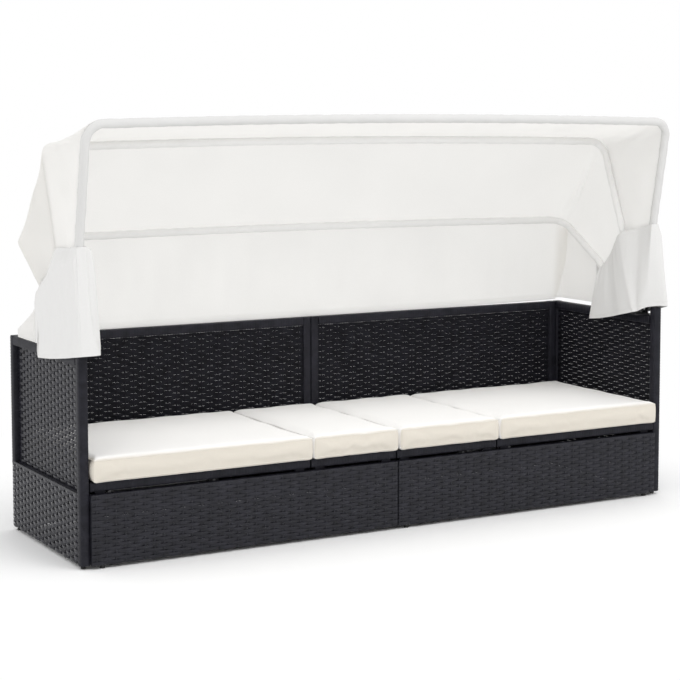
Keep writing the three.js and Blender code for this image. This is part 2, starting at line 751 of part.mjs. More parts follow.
// A closed sheet of cloth: a grid of middle points, each with an inner and an outer point
function clothGeometry(innerGrid, outerGrid) {
  const rows = innerGrid.length;
  const columns = innerGrid[0].length;
  const positions = [];
  for (const grid of [innerGrid, outerGrid]) {
    for (const row of grid) for (const point of row) positions.push(point.x, point.y, point.z);
  }
  const at = (layer, row, column) => (layer * rows + row) * columns + column;
  const index = [];
  const quad = (a, b, c, d) => index.push(a, b, c, a, c, d);
  for (let i = 0; i + 1 < rows; i += 1) {
    for (let j = 0; j + 1 < columns; j += 1) {
      quad(at(1, i, j), at(1, i, j + 1), at(1, i + 1, j + 1), at(1, i + 1, j));
      quad(at(0, i, j), at(0, i + 1, j), at(0, i + 1, j + 1), at(0, i, j + 1));
    }
  }
  for (let j = 0; j + 1 < columns; j += 1) {
    quad(at(0, 0, j), at(0, 0, j + 1), at(1, 0, j + 1), at(1, 0, j));
    quad(at(1, rows - 1, j), at(1, rows - 1, j + 1), at(0, rows - 1, j + 1), at(0, rows - 1, j));
  }
  for (let i = 0; i + 1 < rows; i += 1) {
    quad(at(1, i, 0), at(1, i + 1, 0), at(0, i + 1, 0), at(0, i, 0));
    quad(at(0, i, columns - 1), at(0, i + 1, columns - 1), at(1, i + 1, columns - 1),
      at(1, i, columns - 1));
  }
  return faceOutward(positions, index);
}

function faceOutward(positions, index) {
  const corner = (i) => new THREE.Vector3().fromArray(positions, 3 * i);
  let volume = 0;
  for (let i = 0; i < index.length; i += 3) {
    const [a, b, c] = [index[i], index[i + 1], index[i + 2]].map(corner);
    volume += a.dot(b.cross(c));
  }
  return indexedGeometry(positions, volume > 0 ? index : [...index].reverse());
}

// Roof panel between two bows, cheeks included: it lies on both bows and sags between them
const roofSteps = 5;

function roofGeometry(rearBow, frontBow) {
  const turn = THREE.MathUtils.degToRad(frontBow.angle - rearBow.angle);
  const inset = fitGap / 2 / (2 * seamReach * Math.sin(turn / 2));
  const layer = (offset) => Array.from({ length: roofSteps }, (_, i) => {
    const share = inset + (i / (roofSteps - 1)) * (1 - 2 * inset);
    const sunk = offset - coverSag * 4 * share * (1 - share);
    const corner = coverCorner + sunk - coverOffset;
    const start = seamReach + fitGap / 2;
    const rear = bowOutline(rearBow, sunk, corner, start, 3, 4, 8);
    const front = bowOutline(frontBow, sunk, corner, start, 3, 4, 8);
    return rear.map(([x, r], j) => fromPivot(x, r, rearBow.angle)
      .lerp(fromPivot(front[j][0], front[j][1], frontBow.angle), share));
  });
  return clothGeometry(layer(coverOffset - cloth / 2), layer(coverOffset + cloth / 2));
}

// Rear curtain: from the rear bow down to the back frames. Its left side is drawn in, and its
// right side meets the tail of the flap.
const curtainRows = 6;

function curtainGeometry() {
  const columns = 4 * curtainFolds;
  const topHalf = bows.rear.half - coverCorner;
  const hemHalf = innerHalf + curtainOverlap;
  const hemY = backFace - tube / 2;
  const layer = (offset) => Array.from({ length: curtainRows + 1 }, (_, i) => {
    const share = i / curtainRows;
    const bend = 4 * share * (1 - share);
    return Array.from({ length: columns + 1 }, (__, j) => {
      const across = (2 * j) / columns - 1;
      const drawn = bend * (across < 0 ? curtainDrawIn : -curtainWrap);
      const x = across * (hemHalf + share * (topHalf - hemHalf) - drawn);
      const lift = curtainLift * Math.max(0, across) ** 3;
      const barShare = Math.min(1, Math.abs(x) / topHalf);
      const reach = bows.rear.reach + bowArch * (1 - barShare * barShare) + offset;
      const top = fromPivot(x, reach, bows.rear.angle);
      top.addScaledVector(new THREE.Vector3(0, top.z - pivotZ, pivotY - top.y).normalize(), fitGap);
      const hem = new THREE.Vector3(x, hemY + offset - coverOffset, railTop + fitGap + lift);
      const fold = Math.cos(across * curtainFolds * Math.PI) * curtainFullness * share * (1 - share);
      const point = hem.lerp(top, share);
      point.y += fold;
      return point;
    });
  });
  return clothGeometry(layer(coverOffset - cloth / 2), layer(coverOffset + cloth / 2));
}

// Side flap: gathered over the bows' legs, its hem over the rail outside, round the front post
// and inside, with a tail over the rail towards the rear. Stations run from the tail's end.
const flapRows = 6;
const tailShares = [1, 0.7, 0.35, 0.1];

function flapTail(label, onRail, frontY) {
  const rise = Math.tan(THREE.MathUtils.degToRad(bows.rear.angle));
  const legHeight = (y) => pivotZ + (y - pivotY) * rise - cloth - fitGap;
  const point = (share, closed) => {
    const y = frontY + share * (pivotY + tailReach[label] - frontY);
    const out = closed ? bows.rear.half + coverOffset : halfLength - cloth;
    return new THREE.Vector3(out, y, onRail + closed * (legHeight(y) - onRail));
  };
  return tailShares.map((share, i) => [point(share, tailClosedShare[label][i]), point(share, 0)]);
}

function flapStations(label) {
  const seam = (angle, out, reach = seamReach) => fromPivot(out, reach - fitGap / 2, angle);
  const outer = (bow) => bow.half + coverOffset;
  const rearY = pivotY + flapRear;
  const frontY = postFront - flapFront;
  const low = railTop - flapDrop;
  const frontHem = railTop + flapRise + frontLift[label];
  const onRail = railTop + fitGap + cloth + tailLift[label];
  const outside = halfLength + flapOut;
  const inside = innerHalf - flapIn;
  const hem = (out, y, z) => new THREE.Vector3(out, y, z);
  const hemAt = (out, share) => hem(out, rearY + share * (frontY - rearY),
    low + share ** hemBend * (frontHem - low));
  const topRearOut = seam(bows.rear.angle, outer(bows.rear));
  const topMidOut = seam(bows.mid.angle, outer(bows.mid));
  const topFrontOut = seam(bows.front.angle, outer(bows.front));
  const sunk = (a, b, share) => a.clone().lerp(b, share)
    .add(new THREE.Vector3(-coverSag * 4 * share * (1 - share), 0, 0));
  const wrapY = topFrontOut.y - coverOffset;
  const innerX = bows.rear.end - coverOffset;
  const topRearIn = seam(bows.rear.angle + seamDegrees, innerX, rearInnerReach);
  const topMidIn = seam(bows.mid.angle, innerX, midInnerReach);
  const topFrontIn = seam(bows.front.angle - seamDegrees, innerX).setY(wrapY);
  return [
    ...flapTail(label, onRail, topRearOut.y),
    [topRearOut, hem(outside, rearY + 2 * cloth, onRail)],
    [sunk(topRearOut, topMidOut, 0.04), hemAt(outside, 0)],
    [sunk(topRearOut, topMidOut, 0.5), hemAt(outside, 0.3)],
    [topMidOut, hemAt(outside, 0.55)],
    [sunk(topMidOut, topFrontOut, 0.5), hemAt(outside, 0.75)],
    [topFrontOut, hemAt(outside, 0.92)],
    [topFrontOut.clone().setY(wrapY), hem(halfLength, frontY, frontHem)],
    [topFrontOut.clone().setY(wrapY).setX((topFrontOut.x + innerX) / 2),
      hem(innerHalf + tube / 4, frontY, frontHem)],
    [topFrontIn, hem(inside + tube / 2, frontY + tube / 2, frontHem)],
    [topFrontIn.clone(), hemAt(inside, 0.8)],
    [topMidIn, hemAt(inside, 0.65)],
    [topMidIn.clone().lerp(topRearIn, 0.5), hemAt(inside, 0.3)],
    [topRearIn, hemAt(inside, 0)],
  ];
}

function flapGeometry(side, label) {
  const stations = flapStations(label);
  // Below the seam the outer cloth stands clear of the front bow's leg, the outermost of the three
  const clear = bows.front.end + bowRadius + cloth + fitGap;
  const middle = stations.map(([top, hem]) => Array.from({ length: flapRows + 1 }, (_, i) => {
    const point = top.clone().lerp(hem, i / flapRows);
    const isOuter = hem.x > halfLength && i > 0;
    return isOuter ? point.setX(Math.max(point.x, clear)) : point;
  }));
  const normalAt = (i, j) => {
    const along = middle[Math.min(i + 1, middle.length - 1)][j].clone()
      .sub(middle[Math.max(i - 1, 0)][j]);
    const down = middle[i][Math.min(j + 1, flapRows)].clone().sub(middle[i][Math.max(j - 1, 0)]);
    const normal = along.cross(down).normalize();
    // Along the seam the cloth lies level with the roof panels' cheeks
    return j === 0 && middle[i][0].x > bows.rear.half ? normal.setY(0).setZ(0).normalize() : normal;
  };
  const layer = (offset) => middle.map((column, i) => column.map((point, j) => {
    const moved = point.clone().addScaledVector(normalAt(i, j), offset);
    return moved.setX(side * moved.x);
  }));
  return clothGeometry(layer(-cloth / 2), layer(cloth / 2));
}

function buildCover() {
  add('canopy_curtain', curtainGeometry(), canvas());
  add('canopy_roof_rear', roofGeometry(bows.rear, bows.mid), canvas());
  add('canopy_roof_front', roofGeometry(bows.mid, bows.front), canvas());
  add('canopy_flap_left', flapGeometry(-1, 'left'), canvas());
  add('canopy_flap_right', flapGeometry(1, 'right'), canvas());
}

for (const [side, label] of [[-1, 'left'], [1, 'right']]) {
  buildEnd(side, label);
  buildBack(side, label);
  buildApron(side, label);
  buildBracket(side, label);
}
buildFeet();
buildBearers();
buildDecks();
buildProps();
buildCushions();
buildBows();
buildCover();

// The origin lies on the floor, midway between the front bow and the back frames
const frontReach = -fromPivot(0, bows.front.reach + bowArch, bows.front.angle).y + bowRadius;
daybed.position.y = (frontReach - backFace) / 2;

const part = new THREE.Group();
part.add(daybed);
export default part;
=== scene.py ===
"""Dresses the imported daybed: wrapped frames, woven panels, cushions, and the canopy on its bows.

It is run as a script. Every size is in metres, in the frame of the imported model.
"""

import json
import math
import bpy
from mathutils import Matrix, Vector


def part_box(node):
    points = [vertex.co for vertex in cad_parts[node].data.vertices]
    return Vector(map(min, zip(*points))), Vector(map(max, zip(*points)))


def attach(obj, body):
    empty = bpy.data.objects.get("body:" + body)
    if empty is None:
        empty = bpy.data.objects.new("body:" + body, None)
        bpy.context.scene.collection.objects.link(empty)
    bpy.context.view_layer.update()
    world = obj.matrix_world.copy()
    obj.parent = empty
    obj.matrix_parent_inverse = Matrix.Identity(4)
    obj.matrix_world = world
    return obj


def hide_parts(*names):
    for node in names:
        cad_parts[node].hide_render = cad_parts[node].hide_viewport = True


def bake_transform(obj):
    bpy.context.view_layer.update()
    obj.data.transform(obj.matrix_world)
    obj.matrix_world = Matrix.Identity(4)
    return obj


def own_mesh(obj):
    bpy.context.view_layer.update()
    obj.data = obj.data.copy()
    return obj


bl_info = {
    "name": "Outdoor Daybed",
    "version": (1, 0, 0),
    "blender": (4, 5, 0),
    "location": "View3D > Sidebar > Daybed",
    "description": "Builds the woven, padded and sewn pieces of an outdoor daybed over its packed frame",
    "category": "Object",
}

from contextlib import contextmanager

import bmesh
import bpy
import numpy as np
from bpy.props import FloatProperty, FloatVectorProperty, IntProperty, PointerProperty
from mathutils import Matrix, Vector

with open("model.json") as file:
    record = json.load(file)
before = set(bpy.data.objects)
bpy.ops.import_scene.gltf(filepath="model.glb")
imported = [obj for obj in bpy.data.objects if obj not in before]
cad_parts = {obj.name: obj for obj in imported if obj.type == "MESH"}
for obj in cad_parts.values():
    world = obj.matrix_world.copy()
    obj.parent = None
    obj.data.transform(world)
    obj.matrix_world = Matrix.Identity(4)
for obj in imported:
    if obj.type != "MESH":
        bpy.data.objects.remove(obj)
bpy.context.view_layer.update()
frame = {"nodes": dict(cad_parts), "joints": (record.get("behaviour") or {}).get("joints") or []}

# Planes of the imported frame, and the point on which the canopy's bows turn
END_LOW, END_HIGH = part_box("end_frame_right")
BACK_LOW, BACK_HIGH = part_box("back_frame_right")
APRON_LOW, APRON_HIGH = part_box("apron_frame_right")
TUBE = END_HIGH.x - END_LOW.x
RAIL_TOP = BACK_HIGH.z
SKIRT_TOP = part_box("end_weave_right")[0].z
LEDGE_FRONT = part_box("rear_ledge")[0].y
DECK_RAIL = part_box("deck_weave_seat")[0].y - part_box("deck_seat")[0].y
PIVOT = next(Vector(joint["pos_m"]) for joint in frame["joints"] if joint["name"] == "canopy_fold")

SIDES = (("left", -1), ("right", 1))
SECTIONS = {"back": "backrest", "seat": "frame", "thigh": "thigh_rest", "foot": "foot_rest"}
AXES = ((1, 0, 0), (0, 1, 0), (0, 0, 1))
HALF_PI = math.pi / 2
# The share of its normal along an axis from which a face counts as looking along it
FACING = 0.9
MATERIALS = {}


class StrandSettings(bpy.types.PropertyGroup):
    """The woven strand that covers the frames and fills the panels."""

    colour: FloatVectorProperty(
        name="Strand colour", description="Colour of the woven strand", subtype="COLOR", size=3,
        min=0, max=1, default=(0.0135, 0.0135, 0.0185))
    row_pitch: FloatProperty(
        name="Row pitch", description="From one woven row to the next", unit="LENGTH",
        default=0.0098, min=0.004)
    deck_pitch: FloatProperty(
        name="Deck row pitch", description="From one woven row to the next on the deck",
        unit="LENGTH", default=0.0125, min=0.004)
    stake_gap: FloatProperty(
        name="Stake spacing", description="From one upright stake to the next", unit="LENGTH",
        default=0.0285, min=0.01)
    open_width: FloatProperty(
        name="Open strand", description="Strand width where light passes between the rows",
        unit="LENGTH", default=0.0102, min=0.002)
    narrowing: FloatProperty(
        name="Narrowing", description="Share of its width that an open strand loses between stakes",
        subtype="FACTOR", default=0.03, min=0, max=0.5)
    dense_width: FloatProperty(
        name="Dense strand", description="Strand width where the rows touch", unit="LENGTH",
        default=0.0104, min=0.002)
    thickness: FloatProperty(
        name="Strand thickness", description="Thickness of the strand", unit="LENGTH",
        default=0.0022, min=0.0005)
    swing: FloatProperty(
        name="Swing", description="How far a row passes before and behind the stakes",
        unit="LENGTH", default=0.0022, min=0)
    wrap_pitch: FloatProperty(
        name="Wrap pitch", description="Width of one turn round a tube", unit="LENGTH",
        default=0.0092, min=0.004)


class ClothSettings(bpy.types.PropertyGroup):
    """The cushions and the canopy cover."""

    cushion: FloatVectorProperty(
        name="Cushion colour", description="Colour of the cushion covers", subtype="COLOR", size=3,
        min=0, max=1, default=(0.955, 0.945, 0.93))
    # Painted shade: the cushions' sides that show are coloured darker and warmer than their tops
    painted_side_shade: FloatVectorProperty(
        name="Painted side shade colour", description="Colour of the sides of the cushions", subtype="COLOR",
        size=3, min=0, max=1, default=(0.69, 0.645, 0.57))
    canopy: FloatVectorProperty(
        name="Canopy colour", description="Colour of the canopy cover", subtype="COLOR", size=3,
        min=0, max=1, default=(0.965, 0.96, 0.948))
    # Painted shade: the sleeves' cloth is painted darker than the roof's by this share
    sleeve_painted_shade: FloatProperty(
        name="Sleeve shade", description="How pale the doubled cloth of the sleeves looks",
        subtype="FACTOR", default=0.86, min=0, max=1)
    # Painted shade: the front sleeve is painted darker than the other sleeves by this share
    edge_painted_shade: FloatProperty(
        name="Front edge shade", description="How pale the canopy's front edge looks",
        subtype="FACTOR", default=0.67, min=0, max=1)
    # Painted shade: the flaps' cloth is painted darker than the roof's by this share
    flap_painted_shade: FloatProperty(
        name="Flap shade", description="How pale the doubled cloth of the flaps looks",
        subtype="FACTOR", default=0.735, min=0, max=1)
    through: FloatProperty(
        name="Light passing", description="Share of the light that the front roof lets through",
        subtype="FACTOR", default=0.60, min=0, max=1)
    curtain_through: FloatProperty(
        name="Light through the rear",
        description="Share of the light that the rear roof and the curtain let through",
        subtype="FACTOR", default=0.85, min=0, max=1)
    swell: FloatProperty(
        name="Swell", description="How far the filling may push a cushion's cover out",
        unit="LENGTH", default=0.005, min=0)
    voxel: FloatProperty(
        name="Cover mesh", description="Cell size of the cushion covers before smoothing",
        unit="LENGTH", default=0.0064, min=0.004)
    welt: FloatProperty(
        name="Seam radius", description="Radius of the sewn edge round a cushion", unit="LENGTH",
        default=0.0013, min=0.0003)
    cover_offset: FloatProperty(
        name="Cover offset", description="From a bow's centre to the middle of the cover",
        unit="LENGTH", default=0.0125, min=0.009)
    cover_thickness: FloatProperty(
        name="Cover thickness", description="Thickness of the canopy cloth", unit="LENGTH",
        default=0.0012, min=0.0003)
    sag: FloatProperty(
        name="Sag", description="How far the cover sinks between two bows", unit="LENGTH",
        default=0.010, min=0)
    sleeve: FloatProperty(
        name="Sleeve radius", description="Radius of the sleeve that holds a bow", unit="LENGTH",
        default=0.0112, min=0.0085)
    steps: IntProperty(
        name="Settling steps", description="Steps of the cloth simulation", default=14, min=1)


class StageSettings(bpy.types.PropertyGroup):
    """Camera, lamps and floor."""

    focal: FloatProperty(
        name="Focal length", description="Focal length in millimetres on a 36 mm film",
        default=94.88, min=10)
    floor: FloatVectorProperty(
        name="Floor colour", description="Colour of the floor", subtype="COLOR", size=3,
        min=0, max=1, default=(0.97, 0.97, 0.97))
    sky: FloatProperty(
        name="Room light", description="Strength of the even light from all round",
        default=1.0, min=0)
    key: FloatProperty(
        name="Key lamp", description="Strength of the large lamp", unit="POWER", default=56, min=0)


# Modelling by operators


def clear_selection():
    """Leaves edit mode and deselects everything."""
    if bpy.context.object and bpy.context.object.mode != "OBJECT":
        bpy.ops.object.mode_set(mode="OBJECT")
    bpy.ops.object.select_all(action="DESELECT")


def only(piece):
    """Selects one piece alone and makes it the active one."""
    clear_selection()
    piece.select_set(True)
    bpy.context.view_layer.objects.active = piece
    return piece


def added(name):
    """Names the active piece and its mesh."""
    piece = bpy.context.active_object
    piece.name = piece.data.name = name
    return piece


def primitive(add, name, scale=(1, 1, 1), **settings):
    """Adds a primitive by its operator, turns it, then stretches it along the frame's axes."""
    clear_selection()
    add(**settings)
    piece = added(name)
    bpy.ops.object.transform_apply(location=False, rotation=True, scale=False)
    piece.scale = scale
    bpy.ops.object.transform_apply(location=True, rotation=False, scale=True)
    return piece


def block(name, low, high):
    """A block between two corners."""
    low, high = Vector(low), Vector(high)
    return primitive(bpy.ops.mesh.primitive_cube_add, name, high - low, size=1,
                     location=(low + high) / 2)


@contextmanager
def edit(piece, kind="FACE"):
    """Edit mode on one piece, with all of it selected."""
    only(piece)
    bpy.ops.object.mode_set(mode="EDIT")
    select_all(kind)
    yield
    bpy.ops.object.mode_set(mode="OBJECT")


def select_all(kind="FACE"):
    """In edit mode: selects all the vertices, edges or faces."""
    bpy.ops.mesh.select_mode(type=kind)
    bpy.ops.mesh.select_all(action="SELECT")


def select(piece, test, kind="FACE"):
    """In edit mode: selects the vertices, edges or faces that pass the test."""
    bpy.ops.mesh.select_mode(type=kind)
    bpy.ops.mesh.select_all(action="DESELECT")
    grown = bmesh.from_edit_mesh(piece.data)
    for part in {"VERT": grown.verts, "EDGE": grown.edges, "FACE": grown.faces}[kind]:
        if test(part):
            part.select_set(True)
    bmesh.update_edit_mesh(piece.data)


def upright(edge):
    """Whether an edge of a block runs along Z."""
    return abs((edge.verts[0].co - edge.verts[1].co).z) > 0.001


def faces_along(axis):
    """A test for the faces that look along an axis, either way."""
    return lambda face: abs(face.normal[axis]) > FACING


def faces_up(face):
    """Whether a face looks up."""
    return face.normal.z > FACING


def extrude(move, scale=(1, 1, 1)):
    """Extrudes the selected faces by a move and stretches what was extruded."""
    bpy.ops.mesh.extrude_region_move(TRANSFORM_OT_translate={"value": move})
    bpy.ops.transform.resize(value=scale)


def ease(width, segments=2):
    """Eases the selected edges."""
    bpy.ops.mesh.bevel(offset=width, segments=segments, affect="EDGES")


def close(piece):
    """Closes the open ends and turns all faces outwards."""
    with edit(piece):
        bpy.ops.mesh.fill_holes(sides=0)
        bpy.ops.mesh.normals_make_consistent(inside=False)
    return piece


def use(piece, kind, **settings):
    """Adds a modifier, sets it and applies it."""
    only(piece)
    modifier = piece.modifiers.new(kind.title(), kind)
    for key, value in settings.items():
        setattr(modifier, key, value)
    bpy.ops.object.modifier_apply(modifier=modifier.name)
    return piece


def repeat(piece, count, step, merge=False):
    """Copies a piece in a row and keeps the row as one mesh."""
    return use(piece, "ARRAY", count=count, use_relative_offset=False, use_constant_offset=True,
               constant_offset_displace=step, use_merge_vertices=merge,
               use_merge_vertices_cap=False, merge_threshold=1e-5)


def put(piece, place):
    """Moves a piece by a matrix and leaves its object at the origin."""
    only(piece)
    piece.matrix_world = place
    bpy.ops.object.transform_apply(location=True, rotation=True, scale=True)
    return piece


def join(pieces, name):
    """Makes one mesh of several."""
    only(pieces[0])
    for piece in pieces[1:]:
        piece.select_set(True)
    if len(pieces) > 1:
        bpy.ops.object.join()
    return added(name)


def smooth(piece, degrees=40):
    """Shades a piece smooth, apart from its sharp edges."""
    only(piece)
    bpy.ops.object.shade_smooth_by_angle(angle=math.radians(degrees), keep_sharp_edges=False)
    return piece


def axes(x, y, z, at=(0, 0, 0)):
    """The matrix whose columns are three directions and a place."""
    rows = [[x[i], y[i], z[i], at[i]] for i in range(3)]
    return Matrix((*rows, (0, 0, 0, 1)))


def dress(piece, material, slot, *nodes):
    """Gives a piece its material and hides the nodes it stands for. The slot is not used."""
    piece.data.materials.clear()
    piece.data.materials.append(MATERIALS[material])
    if nodes:
        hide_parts(*nodes)
    return piece


def finish(piece, body, material, slot, *nodes):
    """Dresses a piece and lets it ride on a body."""
    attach(piece, body)
    return dress(piece, material, slot, *nodes)


def paint_faces(piece, material, test):
    """Gives the faces that pass the test a material of their own."""
    piece.data.materials.append(MATERIALS[material])
    with edit(piece):
        select(piece, test)
        piece.active_material_index = len(piece.data.materials) - 1
        bpy.ops.object.material_slot_assign()


# Materials


class Nodes:
    """Places shader nodes in a tree and joins them."""

    def __init__(self, tree):
        self.tree = tree

    def add(self, kind, inputs=None, **settings):
        node = self.tree.nodes.new(kind)
        for key, value in settings.items():
            setattr(node, key, value)
        for key, value in (inputs or {}).items():
            self.feed(node.inputs[key], value)
        return node

    def feed(self, socket, value):
        """Sets a socket to a value, or joins it to the socket that the value is."""
        if isinstance(value, bpy.types.NodeSocket):
            self.tree.links.new(value, socket)
        else:
            socket.default_value = value

    def math(self, operation, a, b=0.0):
        return self.add("ShaderNodeMath", {0: a, 1: b}, operation=operation).outputs[0]

    def vector(self, operation, **inputs):
        names = {"a": 0, "b": 1, "c": 2, "scale": "Scale"}
        node = self.add("ShaderNodeVectorMath", operation=operation)
        for key, value in inputs.items():
            self.feed(node.inputs[names[key]], value)
        return node.outputs

    def ramp(self, value, low, high, out_low, out_high):
        node = self.add("ShaderNodeMapRange", {
            "Value": value, "From Min": low, "From Max": high,
            "To Min": out_low, "To Max": out_high})
        return node.outputs[0]

    def noise(self, place, scale, detail):
        node = self.add("ShaderNodeTexNoise", {"Vector": place, "Scale": scale, "Detail": detail})
        return node.outputs["Fac"]

    def uneven(self, noise, share):
        """A share of how far a noise is from its middle."""
        return self.math("MULTIPLY", self.math("SUBTRACT", noise, 0.5), share)

    def seen(self):
        """One where the camera looks straight or by way of a mirror or glass, else nought."""
        path = self.add("ShaderNodeLightPath").outputs
        straight = self.math("MAXIMUM", path["Is Camera Ray"], path["Is Glossy Ray"])
        return self.math("MAXIMUM", straight, path["Is Transmission Ray"])


def look_group(name, base, values, shade):
    """A shader node group that gives a colour, a roughness and a height at a place.

    shade(nodes, source) is given the group's inputs and returns the level of the base colour,
    the roughness and the height.
    """
    group = bpy.data.node_groups.new(name, "ShaderNodeTree")

    def socket(label, way, kind="Float", default=None):
        made = group.interface.new_socket(label, in_out=way, socket_type=f"NodeSocket{kind}")
        if default is not None:
            made.default_value = default

    socket("Position", "INPUT", "Vector")
    socket("Base", "INPUT", "Color", base)
    for label, default in values.items():
        socket(label, "INPUT", default=default)
    socket("Color", "OUTPUT", "Color")
    socket("Roughness", "OUTPUT")
    socket("Height", "OUTPUT")
    nodes = Nodes(group)
    source = nodes.add("NodeGroupInput").outputs
    level, rough, height = shade(nodes, source)
    nodes.add("NodeGroupOutput", {
        "Color": nodes.vector("SCALE", a=source["Base"], scale=level)[0],
        "Roughness": rough, "Height": height})
    return group


def strand_look(nodes, source):
    """Streaks and soft wear of a moulded plastic strand."""
    patches = nodes.noise(source["Position"], 34.0, 3.0)
    grain = nodes.noise(source["Position"], source["Streaks"], 2.0)
    rough = nodes.math("ADD", source["Gloss"], nodes.ramp(grain, 0.3, 0.7, -0.05, 0.09))
    return nodes.ramp(patches, 0.3, 0.72, 0.78, 1.5), rough, grain


def cloth_look(nodes, source):
    """Plain weave of a cloth, with slubs and soft uneven shade."""
    across = nodes.add("ShaderNodeSeparateXYZ", {"Vector": source["Position"]}).outputs
    warp, weft = (nodes.math("SINE", nodes.math("MULTIPLY", across[i], source["Threads"]))
                  for i in range(2))
    slubs = nodes.noise(source["Position"], 210.0, 3.0)
    clouds = nodes.noise(source["Position"], 5.5, 2.0)
    height = nodes.math("ADD", nodes.math("MULTIPLY", nodes.math("MULTIPLY", warp, weft), 0.5), slubs)
    shade = nodes.math("ADD", nodes.uneven(clouds, source["Shade"]), nodes.uneven(slubs, 0.05))
    return nodes.math("ADD", shade, 1.0), nodes.ramp(slubs, 0.2, 0.8, 0.84, 0.96), height


def metal_look(nodes, source):
    """Light scratches and uneven polish on metal or coated metal."""
    patches = nodes.noise(source["Position"], 45.0, 4.0)
    specks = nodes.noise(source["Position"], 700.0, 2.0)
    level = nodes.math("ADD", nodes.uneven(patches, source["Wear"]), 1.0)
    return level, nodes.math("ADD", source["Gloss"], nodes.ramp(specks, 0.3, 0.7, -0.06, 0.1)), specks


def surface(name, group, look, bump, distance, on_uv=False, through=0.0, specular=0.5, metallic=0.0):
    """A material: one group for colour, roughness and height, and its own shader.

    through is how much light a single thin cloth lets pass.
    """
    material = bpy.data.materials.new(name)
    material.use_nodes = True
    material.node_tree.nodes.clear()
    nodes = Nodes(material.node_tree)
    place = nodes.add("ShaderNodeTexCoord").outputs["UV" if on_uv else "Object"]
    look = nodes.add("ShaderNodeGroup", {"Position": place, **look}, node_tree=group).outputs
    normal = nodes.add("ShaderNodeBump", {
        "Height": look["Height"], "Strength": bump, "Distance": distance}).outputs["Normal"]
    body = nodes.add("ShaderNodeBsdfPrincipled", {
        "Base Color": look["Color"], "Roughness": look["Roughness"], "Normal": normal,
        "Specular IOR Level": specular, "Metallic": metallic}).outputs[0]
    if through:
        passing = nodes.add("ShaderNodeBsdfTranslucent", {"Color": look["Color"], "Normal": normal})
        body = nodes.add("ShaderNodeMixShader", {0: through, 1: body, 2: passing.outputs[0]}).outputs[0]
    nodes.add("ShaderNodeOutputMaterial", {0: body})
    return material


def shaded(colour, share=1.0):
    """A colour taken down by a share, for a shader's socket."""
    return (*[share * level for level in colour], 1)


def make_materials():
    """All the materials of the daybed, by the name that the pieces ask for."""
    scene = bpy.context.scene
    cloth, dark, pale = scene.cloth, scene.strand.colour, scene.cloth.canopy
    strand = look_group("Strand Look", (0.013, 0.013, 0.018, 1),
                        {"Gloss": 0.42, "Streaks": 900.0}, strand_look)
    weave = look_group("Cloth Weave", (0.8, 0.8, 0.76, 1),
                       {"Threads": 900.0, "Shade": 0.04}, cloth_look)
    metal = look_group("Metal Wear", (0.5, 0.5, 0.5, 1), {"Gloss": 0.35, "Wear": 0.1}, metal_look)

    def woven(name, share, gloss, bump, specular):
        look = {"Base": shaded(dark, share), "Gloss": gloss}
        return surface(name, strand, look, bump, 0.0004, specular=specular)

    def canopy(name, share, through=0.0):
        look = {"Base": shaded(pale, share), "Threads": 4200.0, "Shade": 0.04}
        return surface(name, weave, look, 0.18, 0.0003, on_uv=True, through=through, specular=0.2)

    def sleeve(name, share):
        look = {"Base": shaded(pale, share), "Threads": 4200.0, "Shade": 0.05}
        return surface(name, weave, look, 0.2, 0.0003, specular=0.2)

    def steel(name, colour, gloss, wear, bump, distance, metallic=1.0):
        look = {"Base": shaded(colour), "Gloss": gloss, "Wear": wear}
        return surface(name, metal, look, bump, distance, metallic=metallic)

    return {
        "strand": woven("Woven Strand", 1.0, 0.26, 0.12, 0.26),
        # Painted shade: a darker copy of the strand for the faces that look into the bed
        "shaded": woven("Woven Strand, Painted Shade", 0.6, 0.5, 0.12, 0.1),
        "wrap": woven("Wrapped Strand", 1.0, 0.46, 0.15, 0.16),
        "cushion": cushion_cloth(weave, Vector(cloth.cushion), Vector(cloth.painted_side_shade)),
        "canopy": canopy("Canopy Cloth", 1.0, cloth.through),
        "curtain": canopy("Curtain Cloth", 1.0, cloth.curtain_through),
        # Painted shade: the flap cloth is the canopy cloth painted darker by the flap's share
        "flap": canopy("Flap Cloth, Painted Shade", cloth.flap_painted_shade),
        # Painted shade: the sleeves are the canopy cloth painted darker by their share
        "sleeve": sleeve("Sleeve Cloth, Painted Shade", cloth.sleeve_painted_shade),
        # Painted shade: the front edge is the sleeve cloth painted darker still
        "edge": sleeve("Front Edge Cloth, Painted Shade", cloth.edge_painted_shade),
        "coated": steel("Coated Steel", (0.022, 0.022, 0.025), 0.5, 0.5, 0.15, 0.0003, 0.0),
        "plated": steel("Plated Steel", (0.26, 0.26, 0.27), 0.48, 0.3, 0.08, 0.0002),
        "tube": steel("Bow Tube", (0.72, 0.72, 0.73), 0.3, 0.12, 0.05, 0.0002),
        "glide": surface("Moulded Glide", strand, {
            "Base": (0.012, 0.012, 0.012, 1), "Gloss": 0.5, "Streaks": 400.0}, 0.2, 0.0003),
    }


def cushion_cloth(weave, colour, painted_side_shade):
    """Cloth that turns to the painted side shade's colour where a piece's painted_side_shade attribute
    says so: painted shade on the cushions' sides.
    """
    look = {"Threads": 3600.0, "Shade": 0.03}
    material = surface("Cushion Cloth", weave, look, 0.22, 0.0004, specular=0.2)
    nodes = Nodes(material.node_tree)
    share = nodes.add("ShaderNodeAttribute", attribute_name="painted_side_shade").outputs["Fac"]
    mixed = nodes.vector("MULTIPLY_ADD", a=share, b=painted_side_shade - colour, c=colour)[0]
    group = next(node for node in material.node_tree.nodes if node.type == "GROUP")
    nodes.feed(group.inputs["Base"], mixed)
    return material


# Wrapped tubes

# Room that a tube leaves for the skirt in front of it, and the gap under skirts and lower posts
SKIRT_DEPTH, FOOT_GAP = 0.0072, 0.001
